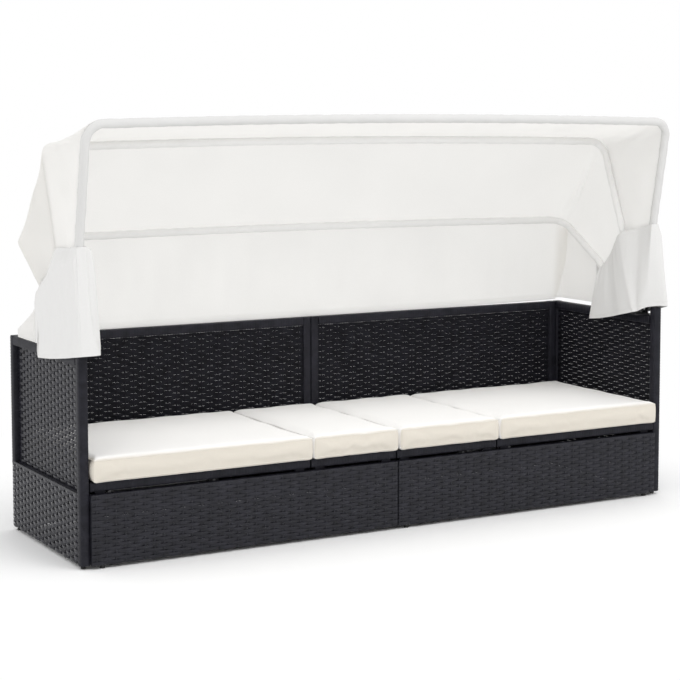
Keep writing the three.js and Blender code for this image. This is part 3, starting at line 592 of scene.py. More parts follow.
# A turn of strand: how deep the joint between two turns is, how round the corners are, and how
# its height is shared between two slopes and the flat between them
WRAP_GROOVE, WRAP_CORNER = 0.0011, 0.22
WRAP_SLOPE, WRAP_FLAT = 0.22, 0.56
# The caps of the front and rear posts: how high each is, how far below its top the wrapping
# ends, how far it keeps inside the tube, and how far its corners and its rim are eased, as
# shares of its width and height
FRONT_CAP, FRONT_WRAP_END = 0.0032, 0.003
REAR_CAP, REAR_WRAP_END = 0.0024, 0.002
CAP_INSET, CAP_CORNER, CAP_RIM = 0.001, 0.2, 0.3


def wrapped_turn(width, depth, pitch):
    """One open turn of strand round a tube, standing along Z from the origin."""
    turn = primitive(bpy.ops.mesh.primitive_plane_add, "turn", (width, depth, 1), size=1)
    narrow = ((width - WRAP_GROOVE) / width, (depth - WRAP_GROOVE) / depth, 1)
    wide = (1 / narrow[0], 1 / narrow[1], 1)
    with edit(turn, "VERT"):
        bpy.ops.mesh.bevel(offset=WRAP_CORNER * min(width, depth), segments=2, affect="VERTICES")
        select_all()
        bpy.ops.transform.resize(value=narrow)
        for share, scale in ((WRAP_SLOPE, wide), (WRAP_FLAT, (1, 1, 1)), (WRAP_SLOPE, narrow)):
            extrude((0, 0, share * pitch), scale)
        select(turn, faces_along(2))
        bpy.ops.mesh.delete(type="ONLY_FACE")
    return turn


def wrapped_bar(start, end, width, depth):
    """A wrapped tube along an axis between two points. Width goes with the first cross axis."""
    run = Vector(end) - Vector(start)
    count = max(1, round(run.length / bpy.context.scene.strand.wrap_pitch))
    pitch = run.length / count
    bar = repeat(wrapped_turn(width, depth, pitch), count, (0, 0, pitch), merge=True)
    along = max(range(3), key=lambda i: abs(run[i]))
    return put(close(bar), axes(AXES[along - 2], AXES[along - 1], AXES[along], start))


def tube_cap(x, y, top, height):
    """A low moulded cap on the end of a post."""
    size = TUBE - 2 * CAP_INSET
    cap = block("cap", (x - size / 2, y - size / 2, top - height), (x + size / 2, y + size / 2, top))
    with edit(cap):
        select(cap, upright, "EDGE")
        ease(CAP_CORNER * size, 3)
        select(cap, faces_up)
        ease(CAP_RIM * height)
    return cap


def end_frame(label, side):
    """Posts and rails of an end. The lower ones stand back to leave room for the skirt."""
    slim, half = TUBE - SKIRT_DEPTH, TUBE / 2
    mid, low_mid = side * (END_HIGH.x + END_LOW.x) / 2, side * (END_LOW.x + slim / 2)
    front, rear = END_LOW.y + half, END_HIGH.y - half
    bottom, top = END_LOW.z, END_HIGH.z

    def post(x, y, low, high, width=TUBE):
        return wrapped_bar((x, y, low), (x, y, high), width, TUBE)

    def rail(x, z, depth=TUBE):
        return wrapped_bar((x, front + half, z), (x, rear - half, z), TUBE, depth)

    bars = [
        post(mid, front, bottom, top - FRONT_WRAP_END),
        post(mid, rear, SKIRT_TOP, RAIL_TOP - REAR_WRAP_END),
        rail(mid, RAIL_TOP - half),
        post(low_mid, rear, bottom + 2 * FOOT_GAP, SKIRT_TOP, slim),
        rail(low_mid, SKIRT_TOP - half, slim),
        rail(low_mid, bottom + half, slim),
        tube_cap(mid, front, top, FRONT_CAP),
        tube_cap(mid, rear, RAIL_TOP, REAR_CAP),
    ]
    piece = smooth(join(bars, f"wrapped_end_{label}"))
    return finish(piece, "frame", "wrap", "wicker_frame", f"end_frame_{label}")


def long_frame(kind, label, top, covered, out):
    """Posts and rails of a back frame or an apron; below covered they stand back from the side that
    faces out, to leave room for a skirt.
    """
    low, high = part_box(f"{kind}_frame_{label}")
    slim, half = TUBE - SKIRT_DEPTH, TUBE / 2
    mid = (low.y + high.y) / 2
    low_mid = mid - out * SKIRT_DEPTH / 2
    bars = []
    for x in (low.x + half, high.x - half):
        bars.append(wrapped_bar((x, low_mid, low.z + FOOT_GAP), (x, low_mid, covered), TUBE, slim))
        if top > covered:
            bars.append(wrapped_bar((x, mid, covered), (x, mid, top), TUBE, TUBE))
    for z in sorted({low.z + half, covered - half, top - half}):
        y, depth = (low_mid, slim) if z < covered else (mid, TUBE)
        bars.append(wrapped_bar((low.x + TUBE, y, z), (high.x - TUBE, y, z), depth, TUBE))
    piece = smooth(join(bars, f"wrapped_{kind}_{label}"))
    return finish(piece, "frame", "wrap", "wicker_frame", f"{kind}_frame_{label}")


class DAYBED_OT_frames(bpy.types.Operator):
    """Wrap the tubes of the ends, the back and the aprons"""

    bl_idname = "daybed.frames"
    bl_label = "Wrapped Frames"

    def execute(self, context):
        for label, side in SIDES:
            end_frame(label, side)
            long_frame("back", label, RAIL_TOP, SKIRT_TOP, 1)
            long_frame("apron", label, APRON_HIGH.z, APRON_HIGH.z, -1)
        return {"FINISHED"}


# Woven panels

STAKE_WIDTH, STAKE_THICKNESS = 0.0052, 0.0024
# Half the height of a lying hexagon over its radius
HEXAGON = 0.866
# The strand rolled along a skirt's top, how far back from the skirt's face and how far below its
# top it lies, and how far below the top the last row ends
ROLL, ROLL_BACK, ROLL_DOWN, SKIRT_DOWN = 0.0075, 0.0045, 0.003, 0.004
# Gaps beside a skirt: at a free edge, at the seam of two halves, at a front and a rear post
EDGE_GAP, SEAM_GAP, FRONT_GAP, REAR_GAP = 0.0004, 0.0025, 0.0005, 0.001


def strand_row(gap, periods, width, phase, steps, narrow):
    """A row along X that passes over one stake and under the next, narrower between stakes."""
    strand = bpy.context.scene.strand
    row = primitive(bpy.ops.mesh.primitive_circle_add, "row",
                    (1, width / 2, strand.thickness / 2 / HEXAGON),
                    vertices=6, radius=1, fill_type="NGON", rotation=(0, HALF_PI, 0))
    run = 2 * gap / steps
    height = [strand.swing * phase * math.sin(math.pi * i * run / gap) for i in range(steps + 1)]
    share = [1 - narrow * math.cos(math.pi * i * run / gap) ** 2 for i in range(steps + 1)]
    with edit(row):
        bpy.ops.transform.resize(value=(1, share[0], 1))
        for i in range(steps):
            extrude((run, 0, height[i + 1] - height[i]), (1, share[i + 1] / share[i], 1))
        select(row, faces_along(0))
        bpy.ops.mesh.delete(type="ONLY_FACE")
    return close(repeat(row, periods, (2 * gap, 0, 0), merge=True))


def stakes(gap, count, height):
    """Upright ribbons, the first half a gap from the origin."""
    stake = primitive(bpy.ops.mesh.primitive_circle_add, "stake",
                      (STAKE_WIDTH / 2, 1, STAKE_THICKNESS / 2),
                      vertices=8, radius=1, fill_type="NGON", rotation=(-HALF_PI, 0, 0))
    with edit(stake):
        extrude((0, height, 0))
    put(stake, Matrix.Translation((gap / 2, 0, 0)))
    return repeat(close(stake), count, (gap, 0, 0))


def woven_panel(name, width, height, strand_width, narrow=0.0, steps=8, pitch=None):
    """A panel in X and Y from the origin, facing +Z, woven round its middle plane."""
    strand = bpy.context.scene.strand
    count = 2 * max(1, round(width / strand.stake_gap / 2))
    gap = width / count
    pairs = max(1, round(height / (pitch or strand.row_pitch) / 2))
    pitch = height / pairs / 2
    strand_width *= pitch / strand.row_pitch
    rows = []
    for i, phase in enumerate((1, -1)):
        row = strand_row(gap, count // 2, strand_width, phase, steps, narrow)
        rows.append(put(row, Matrix.Translation((0, (i + 0.5) * pitch, 0))))
    pair = repeat(join(rows, "pair"), pairs, (0, 2 * pitch, 0))
    return smooth(join([pair, stakes(gap, count, height)], name), 60)


def stand(panel, low, high, out, depth):
    """Stands a panel of the XY plane up, facing out along X or Y, its middle at that depth."""
    along = Vector(AXES[2]).cross(Vector(out))
    start = [low[i] if along[i] >= 0 else high[i] for i in range(3)]
    start[0 if out[0] else 1] = depth
    return put(panel, axes(along, AXES[2], out, start))


def open_panel(kind, label, out, inward):
    """An open panel of an end or of the back. The side that faces inward is painted darker: painted
    shade.
    """
    strand = bpy.context.scene.strand
    low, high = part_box(f"{kind}_weave_{label}")
    across, through = (1, 0) if out[0] else (0, 1)
    panel = woven_panel(f"open_{kind}_{label}", high[across] - low[across], high.z - low.z,
                        strand.open_width, strand.narrowing)
    stand(panel, low, high, out, (low[through] + high[through]) / 2)
    finish(panel, "frame", "strand", "wicker_weave", f"{kind}_weave_{label}")
    # Painted shade: the faces that look inward take the darker copy of the strand
    paint_faces(panel, "shaded", lambda f: f.normal.dot(inward) > 0)


def skirt(name, node, low, high, out, face):
    """A dense skirt whose face lies at that depth, with a strand rolled along its top."""
    strand = bpy.context.scene.strand
    across, through = (1, 0) if out[0] else (0, 1)
    panel = woven_panel(name, high[across] - low[across], high.z - low.z - SKIRT_DOWN,
                        strand.dense_width)
    stand(panel, low, high, out, face - out[through] * (strand.swing + strand.thickness / 2))
    ends = [Vector(low), Vector(high)]
    for end in ends:
        end[through] = face - out[through] * ROLL_BACK
        end.z = high.z - ROLL_DOWN
    panel = join([panel, wrapped_bar(*ends, ROLL, ROLL)], name)
    return finish(panel, "frame", "strand", "wicker_weave", node)


def end_skirt(label, side):
    """The skirt of an end, beside its front post."""
    low = Vector((0, END_LOW.y + TUBE + FRONT_GAP, END_LOW.z + FOOT_GAP))
    high = Vector((0, END_HIGH.y - REAR_GAP, SKIRT_TOP))
    skirt(f"skirt_end_{label}", f"end_skirt_{label}", low, high, (side, 0, 0), side * END_HIGH.x)


def long_skirt(kind, frame_kind, label, side, top, out):
    """A skirt of the back or of an apron, which leaves a seam beside the other half."""
    low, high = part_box(f"{frame_kind}_frame_{label}")
    face = high.y if out > 0 else low.y
    left, right = (SEAM_GAP, EDGE_GAP) if side > 0 else (EDGE_GAP, SEAM_GAP)
    skirt(f"skirt_{kind}_{label}", f"{kind}_{label}", Vector((low.x + left, 0, low.z + FOOT_GAP)),
          Vector((high.x - right, 0, top)), (0, out, 0), face)


class DAYBED_OT_panels(bpy.types.Operator):
    """Weave the open upper panels and the dense skirts"""

    bl_idname = "daybed.panels"
    bl_label = "Woven Panels"

    def execute(self, context):
        for label, side in SIDES:
            open_panel("end", label, (side, 0, 0), Vector((-side, 0, 0)))
            end_skirt(label, side)
            open_panel("back", label, (0, -1, 0), Vector((0, -1, 0)))
            long_skirt("back_skirt", "back", label, side, SKIRT_TOP, 1)
            long_skirt("apron_weave", "apron", label, side, APRON_HIGH.z, -1)
        return {"FINISHED"}


# Deck sections

# Which hinge pins a section's knuckles sit on, and whether they come first or second along it
KNUCKLES = {
    "back": (("backrest_hinge_pin", 0),),
    "seat": (("backrest_hinge_pin", 1), ("thigh_hinge_pin", 0)),
    "thigh": (("thigh_hinge_pin", 1), ("knee_hinge_pin", 0)),
    "foot": (("knee_hinge_pin", 1),),
}
KNUCKLE_RADIUS, KNUCKLE_LENGTH, KNUCKLE_EDGE, KNUCKLE_FROM_END = 0.006, 0.024, 0.0006, 0.0033
PROPS = {"back": "backrest_prop", "thigh": "knee_prop"}
# A pad under a rail: half its width, its depth, how far from the section's end it sits, how far
# it goes up into the rail, and how far its edges are eased
PAD_HALF, PAD_DEPTH, PAD_FROM_END, PAD_INTO, PAD_EDGE = 0.015, 0.010, 0.03, 0.004, 0.0012
# A lug that carries a prop: from the prop's end to its pivot, half the lug's width, its depth,
# its reach below and above the prop's underside, its eased edges, and its place on the section
PROP_EYE, LUG_HALF, LUG_DEPTH, LUG_DOWN, LUG_UP = 0.004, 0.015, 0.010, 0.004, 0.027
LUG_EDGE, LUG_FROM_END = 0.0015, 0.022
CLEARANCE = 0.0003


def rod(x, y, length, z, radius):
    """A rod along Y with eased ends."""
    made = primitive(bpy.ops.mesh.primitive_cylinder_add, "rod", vertices=24, radius=radius,
                     depth=length, location=(x, y + length / 2, z), rotation=(HALF_PI, 0, 0))
    with edit(made):
        select(made, faces_along(1))
        ease(KNUCKLE_EDGE)
    return made


def eased_block(low, high, edge):
    """A block with eased edges, for pads and lugs."""
    made = block("block", low, high)
    with edit(made):
        ease(edge)
    return made


def deck_rails(label):
    """Four wrapped rails, with the pads that rest on the aprons and the ledge behind."""
    infill_low, infill_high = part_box(f"deck_weave_{label}")
    x0, x1 = infill_low.x - DECK_RAIL, infill_high.x + DECK_RAIL
    low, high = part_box(f"deck_{label}")
    half = DECK_RAIL / 2
    z = high.z - half
    bars = [wrapped_bar((x0, y, z), (x1, y, z), DECK_RAIL, DECK_RAIL)
            for y in (low.y + half, high.y - half)]
    bars += [wrapped_bar((x, low.y + DECK_RAIL, z), (x, high.y - DECK_RAIL, z), DECK_RAIL, DECK_RAIL)
             for x in (x0 + half, x1 - half)]
    for x in (x0 + PAD_FROM_END, x1 - PAD_FROM_END):
        for y in (APRON_HIGH.y - PAD_DEPTH, LEDGE_FRONT + CLEARANCE):
            low_corner = (x - PAD_HALF, y, APRON_HIGH.z + CLEARANCE)
            high_corner = (x + PAD_HALF, y + PAD_DEPTH, high.z - DECK_RAIL + PAD_INTO)
            bars.append(eased_block(low_corner, high_corner, PAD_EDGE))
    return bars


def deck_fittings(label):
    """Hinge knuckles and, where the section has a prop, the lugs that carry it."""
    made = []
    for pin, order in KNUCKLES[label]:
        low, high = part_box(pin)
        x, z = (low.x + high.x) / 2, (low.z + high.z) / 2
        for start in (low.y + KNUCKLE_FROM_END, high.y - KNUCKLE_FROM_END - 2 * KNUCKLE_LENGTH):
            y = start + order * (KNUCKLE_LENGTH + CLEARANCE)
            made.append(rod(x, y, KNUCKLE_LENGTH, z, KNUCKLE_RADIUS))
    if label in PROPS:
        low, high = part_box(PROPS[label])
        deck_low, deck_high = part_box(f"deck_{label}")
        pivot = high.x - PROP_EYE if label == "back" else low.x + PROP_EYE
        for y in (deck_low.y + LUG_FROM_END, deck_high.y - LUG_FROM_END - LUG_DEPTH):
            made.append(eased_block((pivot - LUG_HALF, y, low.z - LUG_DOWN),
                                    (pivot + LUG_HALF, y + LUG_DEPTH, low.z + LUG_UP), LUG_EDGE))
    return made


class DAYBED_OT_deck(bpy.types.Operator):
    """Build the four deck sections with their hinges"""

    bl_idname = "daybed.deck"
    bl_label = "Deck Sections"

    def execute(self, context):
        strand = context.scene.strand
        for label, body in SECTIONS.items():
            piece = smooth(join(deck_rails(label), f"wrapped_deck_{label}"))
            finish(piece, body, "wrap", "wicker_frame", f"deck_{label}")
            fittings = smooth(join(deck_fittings(label), f"fittings_deck_{label}"))
            finish(fittings, body, "coated", "wicker_frame")
            low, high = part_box(f"deck_weave_{label}")
            infill = woven_panel(f"woven_deck_{label}", high.x - low.x, high.y - low.y,
                                 strand.open_width, strand.narrowing, 6, strand.deck_pitch)
            put(infill, Matrix.Translation((low.x, low.y, (low.z + high.z) / 2)))
            finish(infill, body, "strand", "wicker_weave", f"deck_weave_{label}")
        return {"FINISHED"}


# Bare metal and glides

# The CAD solids that stay as they are and get a material
CARRIED = {
    "coated": ("rear_ledge", "middle_bearer", "backrest_rack_front", "backrest_rack_rear",
               "knee_rack_front", "knee_rack_rear", "canopy_bracket_left", "canopy_bracket_right",
               "canopy_bolt_left", "canopy_bolt_right"),
    "plated": ("backrest_hinge_pin", "thigh_hinge_pin", "knee_hinge_pin", "backrest_prop",
               "knee_prop"),
    "tube": ("bow_rear", "bow_mid", "bow_front"),
}
# A glide: its sole's share of its width, then from there up each stretch's share of the height
# and how much it widens
GLIDE_SOLE = 0.9
GLIDE = ((0.08, 1.11), (0.3, 1.0), (0.1, 0.8), (0.52, 1.0))


def glide(name, low, high):
    """A round glide: a foot that narrows to a stem."""
    height = high.z - low.z
    piece = primitive(bpy.ops.mesh.primitive_circle_add, name, vertices=24, fill_type="NGON",
                      radius=GLIDE_SOLE * (high.x - low.x) / 2,
                      location=((low.x + high.x) / 2, (low.y + high.y) / 2, low.z))
    with edit(piece):
        for rise, scale in GLIDE:
            extrude((0, 0, rise * height), (scale, scale, 1))
    return smooth(close(piece), 35)


class DAYBED_OT_hardware(bpy.types.Operator):
    """Finish the metal pieces and turn the glides"""

    bl_idname = "daybed.hardware"
    bl_label = "Hardware and Glides"

    def execute(self, context):
        for material, nodes in CARRIED.items():
            for node in nodes:
                solid = frame["nodes"][node].data
                solid.materials.clear()
                solid.materials.append(MATERIALS[material])
        for node in frame["nodes"]:
            if node.startswith("foot_"):
                piece = glide(node.replace("foot_", "glide_"), *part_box(node))
                finish(piece, "frame", "glide", "foot_plastic", node)
        return {"FINISHED"}


# Cushions

# The foam: how far it keeps inside its cover, what it leaves for the crown, and its eased edges
FOAM_INSET, FOAM_DOWN, FOAM_EDGE = 0.0004, 0.005, 0.003
# How far a cushion rises in its middle, how far its sides bulge at half height, how far they are
# drawn in between its corners, and how deep the soft dips on top are
CROWN, BULGE, DRAWN_IN, DIP = 0.0055, 0.001, 0.0006, 0.0011
# How far smoothing may leave the underside above the deck
DECK_GAP = 0.0002
# The painted shade on the cushions' sides, darker and warmer than the top: how far down from the top
# edge it fades in, how much of a face's normal has to look sideways before it starts and until it
# is full, and how far in from the end of the bed the cross sides show it
SIDE_SHADE_FADE, SIDE_SHADE_OVER, SIDE_SHADE_FACING, SIDE_SHADE_END = 0.009, 0.0005, (0.15, 0.60), 0.03
# The lower and the upper seam, from the underside and the top, and how round they are
SEAM_UP, SEAM_DOWN, SEAM_CORNER = 0.006, 0.0045, 0.007


def points_of(piece):
    """A mesh's points as rows of x, y, z."""
    flat = np.zeros(3 * len(piece.data.vertices))
    piece.data.vertices.foreach_get("co", flat)
    return flat.reshape(-1, 3)


def set_points(piece, points):
    """Moves a mesh's points."""
    piece.data.vertices.foreach_set("co", points.reshape(-1))
    piece.data.update()


def unit(values):
    """A share kept between nought and one."""
    return np.clip(values, 0, 1)


def cushion_block(name, low, high):
    """The cut foam: a block with eased edges, a little smaller than its cover."""
    piece = block(name, low + Vector((FOAM_INSET, FOAM_INSET, 0)),
                  high - Vector((FOAM_INSET, FOAM_INSET, FOAM_DOWN)))
    with edit(piece):
        select(piece, upright, "EDGE")
        ease(FOAM_EDGE)
    return use(piece, "BEVEL", width=FOAM_EDGE, segments=2, limit_method="ANGLE",
               angle_limit=math.radians(50))


def shape_cushion(piece, low, high):
    """Crown, sides drawn in between the corners, and the soft dips of a sewn cover."""
    points = points_of(piece)
    share = (points - np.array((low + high) / 2)) / np.array((high - low) / 2)
    rise = unit(1 - share[:, 0] ** 2) * unit(1 - share[:, 1] ** 2)
    upper = unit((share[:, 2] + 0.2) / 1.2)
    points[:, 2] += CROWN * rise ** 0.6 * upper
    bulge = BULGE * unit(1 - share[:, 2] ** 2)
    for axis, other in ((0, 1), (1, 0)):
        edge = unit((np.abs(share[:, axis]) - 0.7) / 0.3)
        inward = unit(1 - share[:, other] ** 2)
        points[:, axis] -= np.sign(share[:, axis]) * edge * (DRAWN_IN * inward - bulge)
    x, y = points[:, 0], points[:, 1]
    dips = np.sin(31 * x + 2.2 * np.sin(9 * y)) * np.sin(23 * y + 1.7 * np.sin(12 * x))
    rim = unit(1.15 - np.abs(share[:, :2]).max(axis=1))
    points[:, 2] += DIP * dips * upper * (1 - rim)
    set_points(piece, points)


def fill_cover(cushion, rest, cap):
    """Blows the cover out by simulation and holds each point within a cap of where it was."""
    modifier = cushion.modifiers.new("Cloth", "CLOTH")
    cloth = modifier.settings
    cloth.quality = 4
    cloth.mass = 0.25
    cloth.tension_stiffness = cloth.compression_stiffness = 14
    cloth.bending_stiffness = 0.6
    cloth.use_pressure = True
    cloth.uniform_pressure_force = 3.2
    cloth.effector_weights.gravity = 0
    scene = bpy.context.scene
    modifier.point_cache.frame_start = 1
    modifier.point_cache.frame_end = scene.cloth.steps
    for step in range(1, scene.cloth.steps + 1):
        scene.frame_set(step)
    only(cushion)
    bpy.ops.object.modifier_apply(modifier=modifier.name)
    scene.frame_set(1)
    move = points_of(cushion) - rest
    length = np.linalg.norm(move, axis=1, keepdims=True)
    set_points(cushion, rest + move * np.minimum(1, cap / np.maximum(length, 1e-9)))


def flatten_bottom(piece, floor):
    """A cushion is flat where it lies on the deck."""
    points = points_of(piece)
    points[:, 2] = np.maximum(points[:, 2], floor)
    set_points(piece, points)


def seam_cord(cover, low, high, z, radius):
    """A sewn edge: a ring round the cushion, drawn onto its cover and made a round cord."""
    ring = primitive(bpy.ops.mesh.primitive_plane_add, "seam", (high.x - low.x, high.y - low.y, 1),
                     size=1, location=((low.x + high.x) / 2, (low.y + high.y) / 2, z))
    with edit(ring, "VERT"):
        bpy.ops.mesh.bevel(offset=SEAM_CORNER, segments=4, affect="VERTICES")
        bpy.ops.mesh.select_all(action="SELECT")
        bpy.ops.mesh.delete(type="ONLY_FACE")
        select(ring, lambda e: e.calc_length() > 0.05, "EDGE")
        bpy.ops.mesh.subdivide(number_cuts=60)
    use(ring, "SHRINKWRAP", target=cover, wrap_method="NEAREST_SURFACEPOINT")
    only(ring)
    bpy.ops.object.convert(target="CURVE")
    curve = bpy.context.active_object.data
    curve.bevel_depth = radius
    curve.bevel_resolution = 1
    bpy.ops.object.convert(target="MESH")
    return bpy.context.active_object


def paint_side_shade(piece, top):
    """Paints shade onto the sides that show: a darker, warmer colour that grows as a face turns sideways
    and fades out at the top edge.
    """
    normals = np.zeros(3 * len(piece.data.vertices))
    piece.data.vertices.foreach_get("normal", normals)
    normals = np.abs(normals.reshape(-1, 3))
    points = points_of(piece)
    at_end = np.abs(points[:, 0]) > END_LOW.x - SIDE_SHADE_END
    start, full = SIDE_SHADE_FACING
    facing = unit((np.maximum(normals[:, 1], normals[:, 0] * at_end) - start) / (full - start))
    below = unit((top + SIDE_SHADE_OVER - points[:, 2]) / SIDE_SHADE_FADE)
    layer = piece.data.attributes.new("painted_side_shade", "FLOAT", "POINT")
    layer.data.foreach_set("value", facing * below * below * (3 - 2 * below))


def carry_cushion(piece, label, body):
    """The cushions beside a rising section stay where they lie, their place baked into the mesh; the
    others ride on theirs.
    """
    if label not in ("back", "thigh"):
        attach(piece, body)
        return
    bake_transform(piece)


class DAYBED_OT_cushions(bpy.types.Operator):
    """Sew, fill and lay the four cushions"""

    bl_idname = "daybed.cushions"
    bl_label = "Cushions"

    def execute(self, context):
        cloth = context.scene.cloth
        for label, body in SECTIONS.items():
            low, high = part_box(f"cushion_{label}")
            piece = cushion_block(f"pad_{label}", low, high)
            use(piece, "REMESH", mode="VOXEL", voxel_size=cloth.voxel, use_smooth_shade=True)
            shape_cushion(piece, low, high)
            fill_cover(piece, points_of(piece), cloth.swell)
            flatten_bottom(piece, low.z)
            use(piece, "SMOOTH", factor=0.5, iterations=1)
            use(piece, "SUBSURF", levels=1, render_levels=1)
            flatten_bottom(piece, low.z + DECK_GAP)
            seams = [seam_cord(piece, low, high, z, cloth.welt)
                     for z in (low.z + SEAM_UP, high.z - SEAM_DOWN)]
            piece = only(join([piece, *seams], f"pad_{label}"))
            bpy.ops.object.shade_smooth()
            paint_side_shade(piece, high.z)
            carry_cushion(piece, label, body)
            dress(piece, "cushion", "cushion_fabric", f"cushion_{label}")
        return {"FINISHED"}


# Canopy

# Each bow: its body, half its width at the bolt and above the bend in its legs, how far its bar
# is from the pivot, and its angle in degrees over the rear rail
BOWS = {
    "rear": {"body": "rear_bow", "end": 0.954, "half": 0.979, "reach": 0.511, "angle": 31.7},
    "mid": {"body": "middle_bow", "end": 0.971, "half": 0.978, "reach": 0.583, "angle": 68.7},
    "front": {"body": "front_bow", "end": 0.988, "half": 0.982, "reach": 0.622, "angle": 101.0},
}
BEND_START, BEND_END = 0.140, 0.270
SLEEVE_START = 0.10
BOW_CORNER, COVER_CORNER = 0.050, 0.036
BOW_ARCH = 0.012
SEAM_REACH, CHEEK_REACH = 0.285, 0.190
# How much wider the front sleeve is, and how far the roof draws in to follow its corners
FRONT_SLEEVE, FRONT_CORNER, FRONT_SINK = 0.0012, 0.0145, 0.003
# Depths of the roof's ripples, of the pulls beside its corners and of the bulge at them
ROOF_RIPPLE, ROOF_PULL, ROOF_CORNER = 0.0011, 0.0042, 0.002
# Depths of the curtain's wide and narrow folds, how far its left and right edges draw in, how
# far its right end lifts off the rail, and how far its hem is turned back
CURTAIN_FOLD, CURTAIN_FINE = 0.0042, 0.0016
CURTAIN_DRAWN, CURTAIN_LIFT, CURTAIN_HEM = (0.050, -0.012), 0.006, 0.0012
# Depths of a sleeve's two creases, each with its turns per metre and round the tube
SLEEVE_CREASES = ((0.0005, 130, 2), (0.0004, 61, -3))
SLEEVE_THICKNESS = 0.0008


def bow_line(bow, offset, corner, start, leg, arc, bar):
    """A bow's line in its own plane, as [x, distance from the pivot], moved out by an offset.

    leg, arc and bar are the numbers of points on a leg, a corner and half the bar.
    """
    half, reach = bow["half"] + offset, bow["reach"] + offset
    line = [(-half, start + i / leg * (reach - corner - start)) for i in range(leg)]
    for i in range(arc):
        turn = i / arc * HALF_PI
        line.append((-half + corner * (1 - math.cos(turn)), reach - corner * (1 - math.sin(turn))))
    for i in range(bar):
        share = 1 - i / bar
        line.append((-(half - corner) * share, reach + BOW_ARCH * (1 - share * share)))
    mirrored = [(-x, r) for x, r in reversed(line)]
    return np.array([*line, (0, reach + BOW_ARCH), *mirrored])


def from_pivot(x, distance, degrees):
    """Points at a distance from the pivot, in the plane of a bow at that angle."""
    turn = np.radians(degrees)
    return np.stack([x + 0 * distance, PIVOT.y + distance * np.cos(turn),
                     PIVOT.z + distance * np.sin(turn)], axis=-1)


def bow_points(line, bow):
    """A bow's line as points of the frame."""
    return from_pivot(line[:, 0], line[:, 1], bow["angle"])


def run_of(line):
    """How far along a line each of its points is."""
    return np.concatenate([[0], np.cumsum(np.linalg.norm(np.diff(line, axis=0), axis=1))])


def normals_of(grid):
    """The unit normal at each point of a grid."""
    normal = np.cross(np.gradient(grid, axis=1), np.gradient(grid, axis=0))
    return normal / np.maximum(np.linalg.norm(normal, axis=2, keepdims=True), 1e-12)


def sheet_mesh(name, points, quads):
    """A sheet from points and the quads between them, still without thickness."""
    mesh = bpy.data.meshes.new(name)
    mesh.from_pydata(points.reshape(-1, 3).tolist(), [], quads.reshape(-1, 4).tolist())
    piece = bpy.data.objects.new(name, mesh)
    bpy.context.scene.collection.objects.link(piece)
    return piece


def thicken(piece, thickness):
    """Gives a sheet its thickness, evenly to both sides."""
    use(piece, "SOLIDIFY", thickness=thickness, offset=0)
    return smooth(close(piece), 50)


def cloth_sheet(name, grid, thickness):
    """A sheet from a grid of points, with a UV map in metres of cloth, and its thickness."""
    rows, columns = grid.shape[:2]
    index = np.arange(rows * columns).reshape(rows, columns)
    quads = np.stack([index[:-1, :-1], index[:-1, 1:], index[1:, 1:], index[1:, :-1]], axis=-1)
    piece = sheet_mesh(name, grid, quads)
    across = np.linalg.norm(np.diff(grid, axis=1), axis=2).mean(axis=0)
    down = np.linalg.norm(np.diff(grid, axis=0), axis=2).mean(axis=1)
    u, v = (np.concatenate([[0], np.cumsum(steps)]) for steps in (across, down))
    layer = piece.data.uv_layers.new(name="UVMap")
    for loop in piece.data.loops:
        row, column = divmod(loop.vertex_index, columns)
        layer.data[loop.index].uv = (u[column], v[row])
    return thicken(piece, thickness)


def sleeve_line(bow):
    """A bow's line from inside one flap to inside the other, its legs bent in towards the pivot."""
    reach = np.concatenate([np.linspace(SLEEVE_START, BEND_START, 5),
                            np.linspace(BEND_START, BEND_END, 12)[1:-1]])
    share = unit((reach - BEND_START) / (BEND_END - BEND_START))
    leg = np.stack([-(bow["end"] + share * (bow["half"] - bow["end"])), reach], axis=1)
    bar = bow_line(bow, 0, BOW_CORNER, BEND_END, 22, 14, 60)
    return bow_points(np.concatenate([leg, bar, (leg * (-1, 1))[::-1]]), bow)


def sleeve_tube(name, centre, radius):
    """A cloth tube along a line, with the small creases of a pulled-on sleeve."""
    tangent = np.gradient(centre, axis=0)
    tangent /= np.linalg.norm(tangent, axis=1, keepdims=True)
    across = centre[len(centre) // 2] - np.array(PIVOT)
    flat_normal = np.cross([1.0, 0, 0], [0, across[1], across[2]])
    flat_normal /= np.linalg.norm(flat_normal)
    out = np.cross(tangent, flat_normal)
    turns = np.linspace(0, 2 * np.pi, 17)[:-1]
    rings = []
    for point, run, outward in zip(centre, run_of(centre), out):
        crease = sum(depth * np.sin(run * rate + around * turns)
                     for depth, rate, around in SLEEVE_CREASES)
        rings.append(point + (radius + crease)[:, None] * (
            np.cos(turns)[:, None] * flat_normal + np.sin(turns)[:, None] * outward))
    index = np.arange(len(rings) * len(turns)).reshape(len(rings), len(turns))
    beside = np.roll(index, -1, axis=1)
    quads = np.stack([index[:-1], beside[:-1], beside[1:], index[1:]], axis=-1)
    return thicken(sheet_mesh(name, np.array(rings), quads), SLEEVE_THICKNESS)


class DAYBED_OT_sleeves(bpy.types.Operator):
    """Draw a sleeve over each bow"""

    bl_idname = "daybed.sleeves"
    bl_label = "Bow Sleeves"

    def execute(self, context):
        for name, bow in BOWS.items():
            at_front = name == "front"
            radius = context.scene.cloth.sleeve + FRONT_SLEEVE * at_front
            centre = sleeve_line(bow)
            piece = sleeve_tube(f"sleeve_{name}", centre, radius)
            # The front sleeve takes a darker copy of the sleeve cloth than the others: painted shade
            finish(piece, bow["body"], "edge" if at_front else "sleeve", "canopy_fabric")
        return {"FINISHED"}


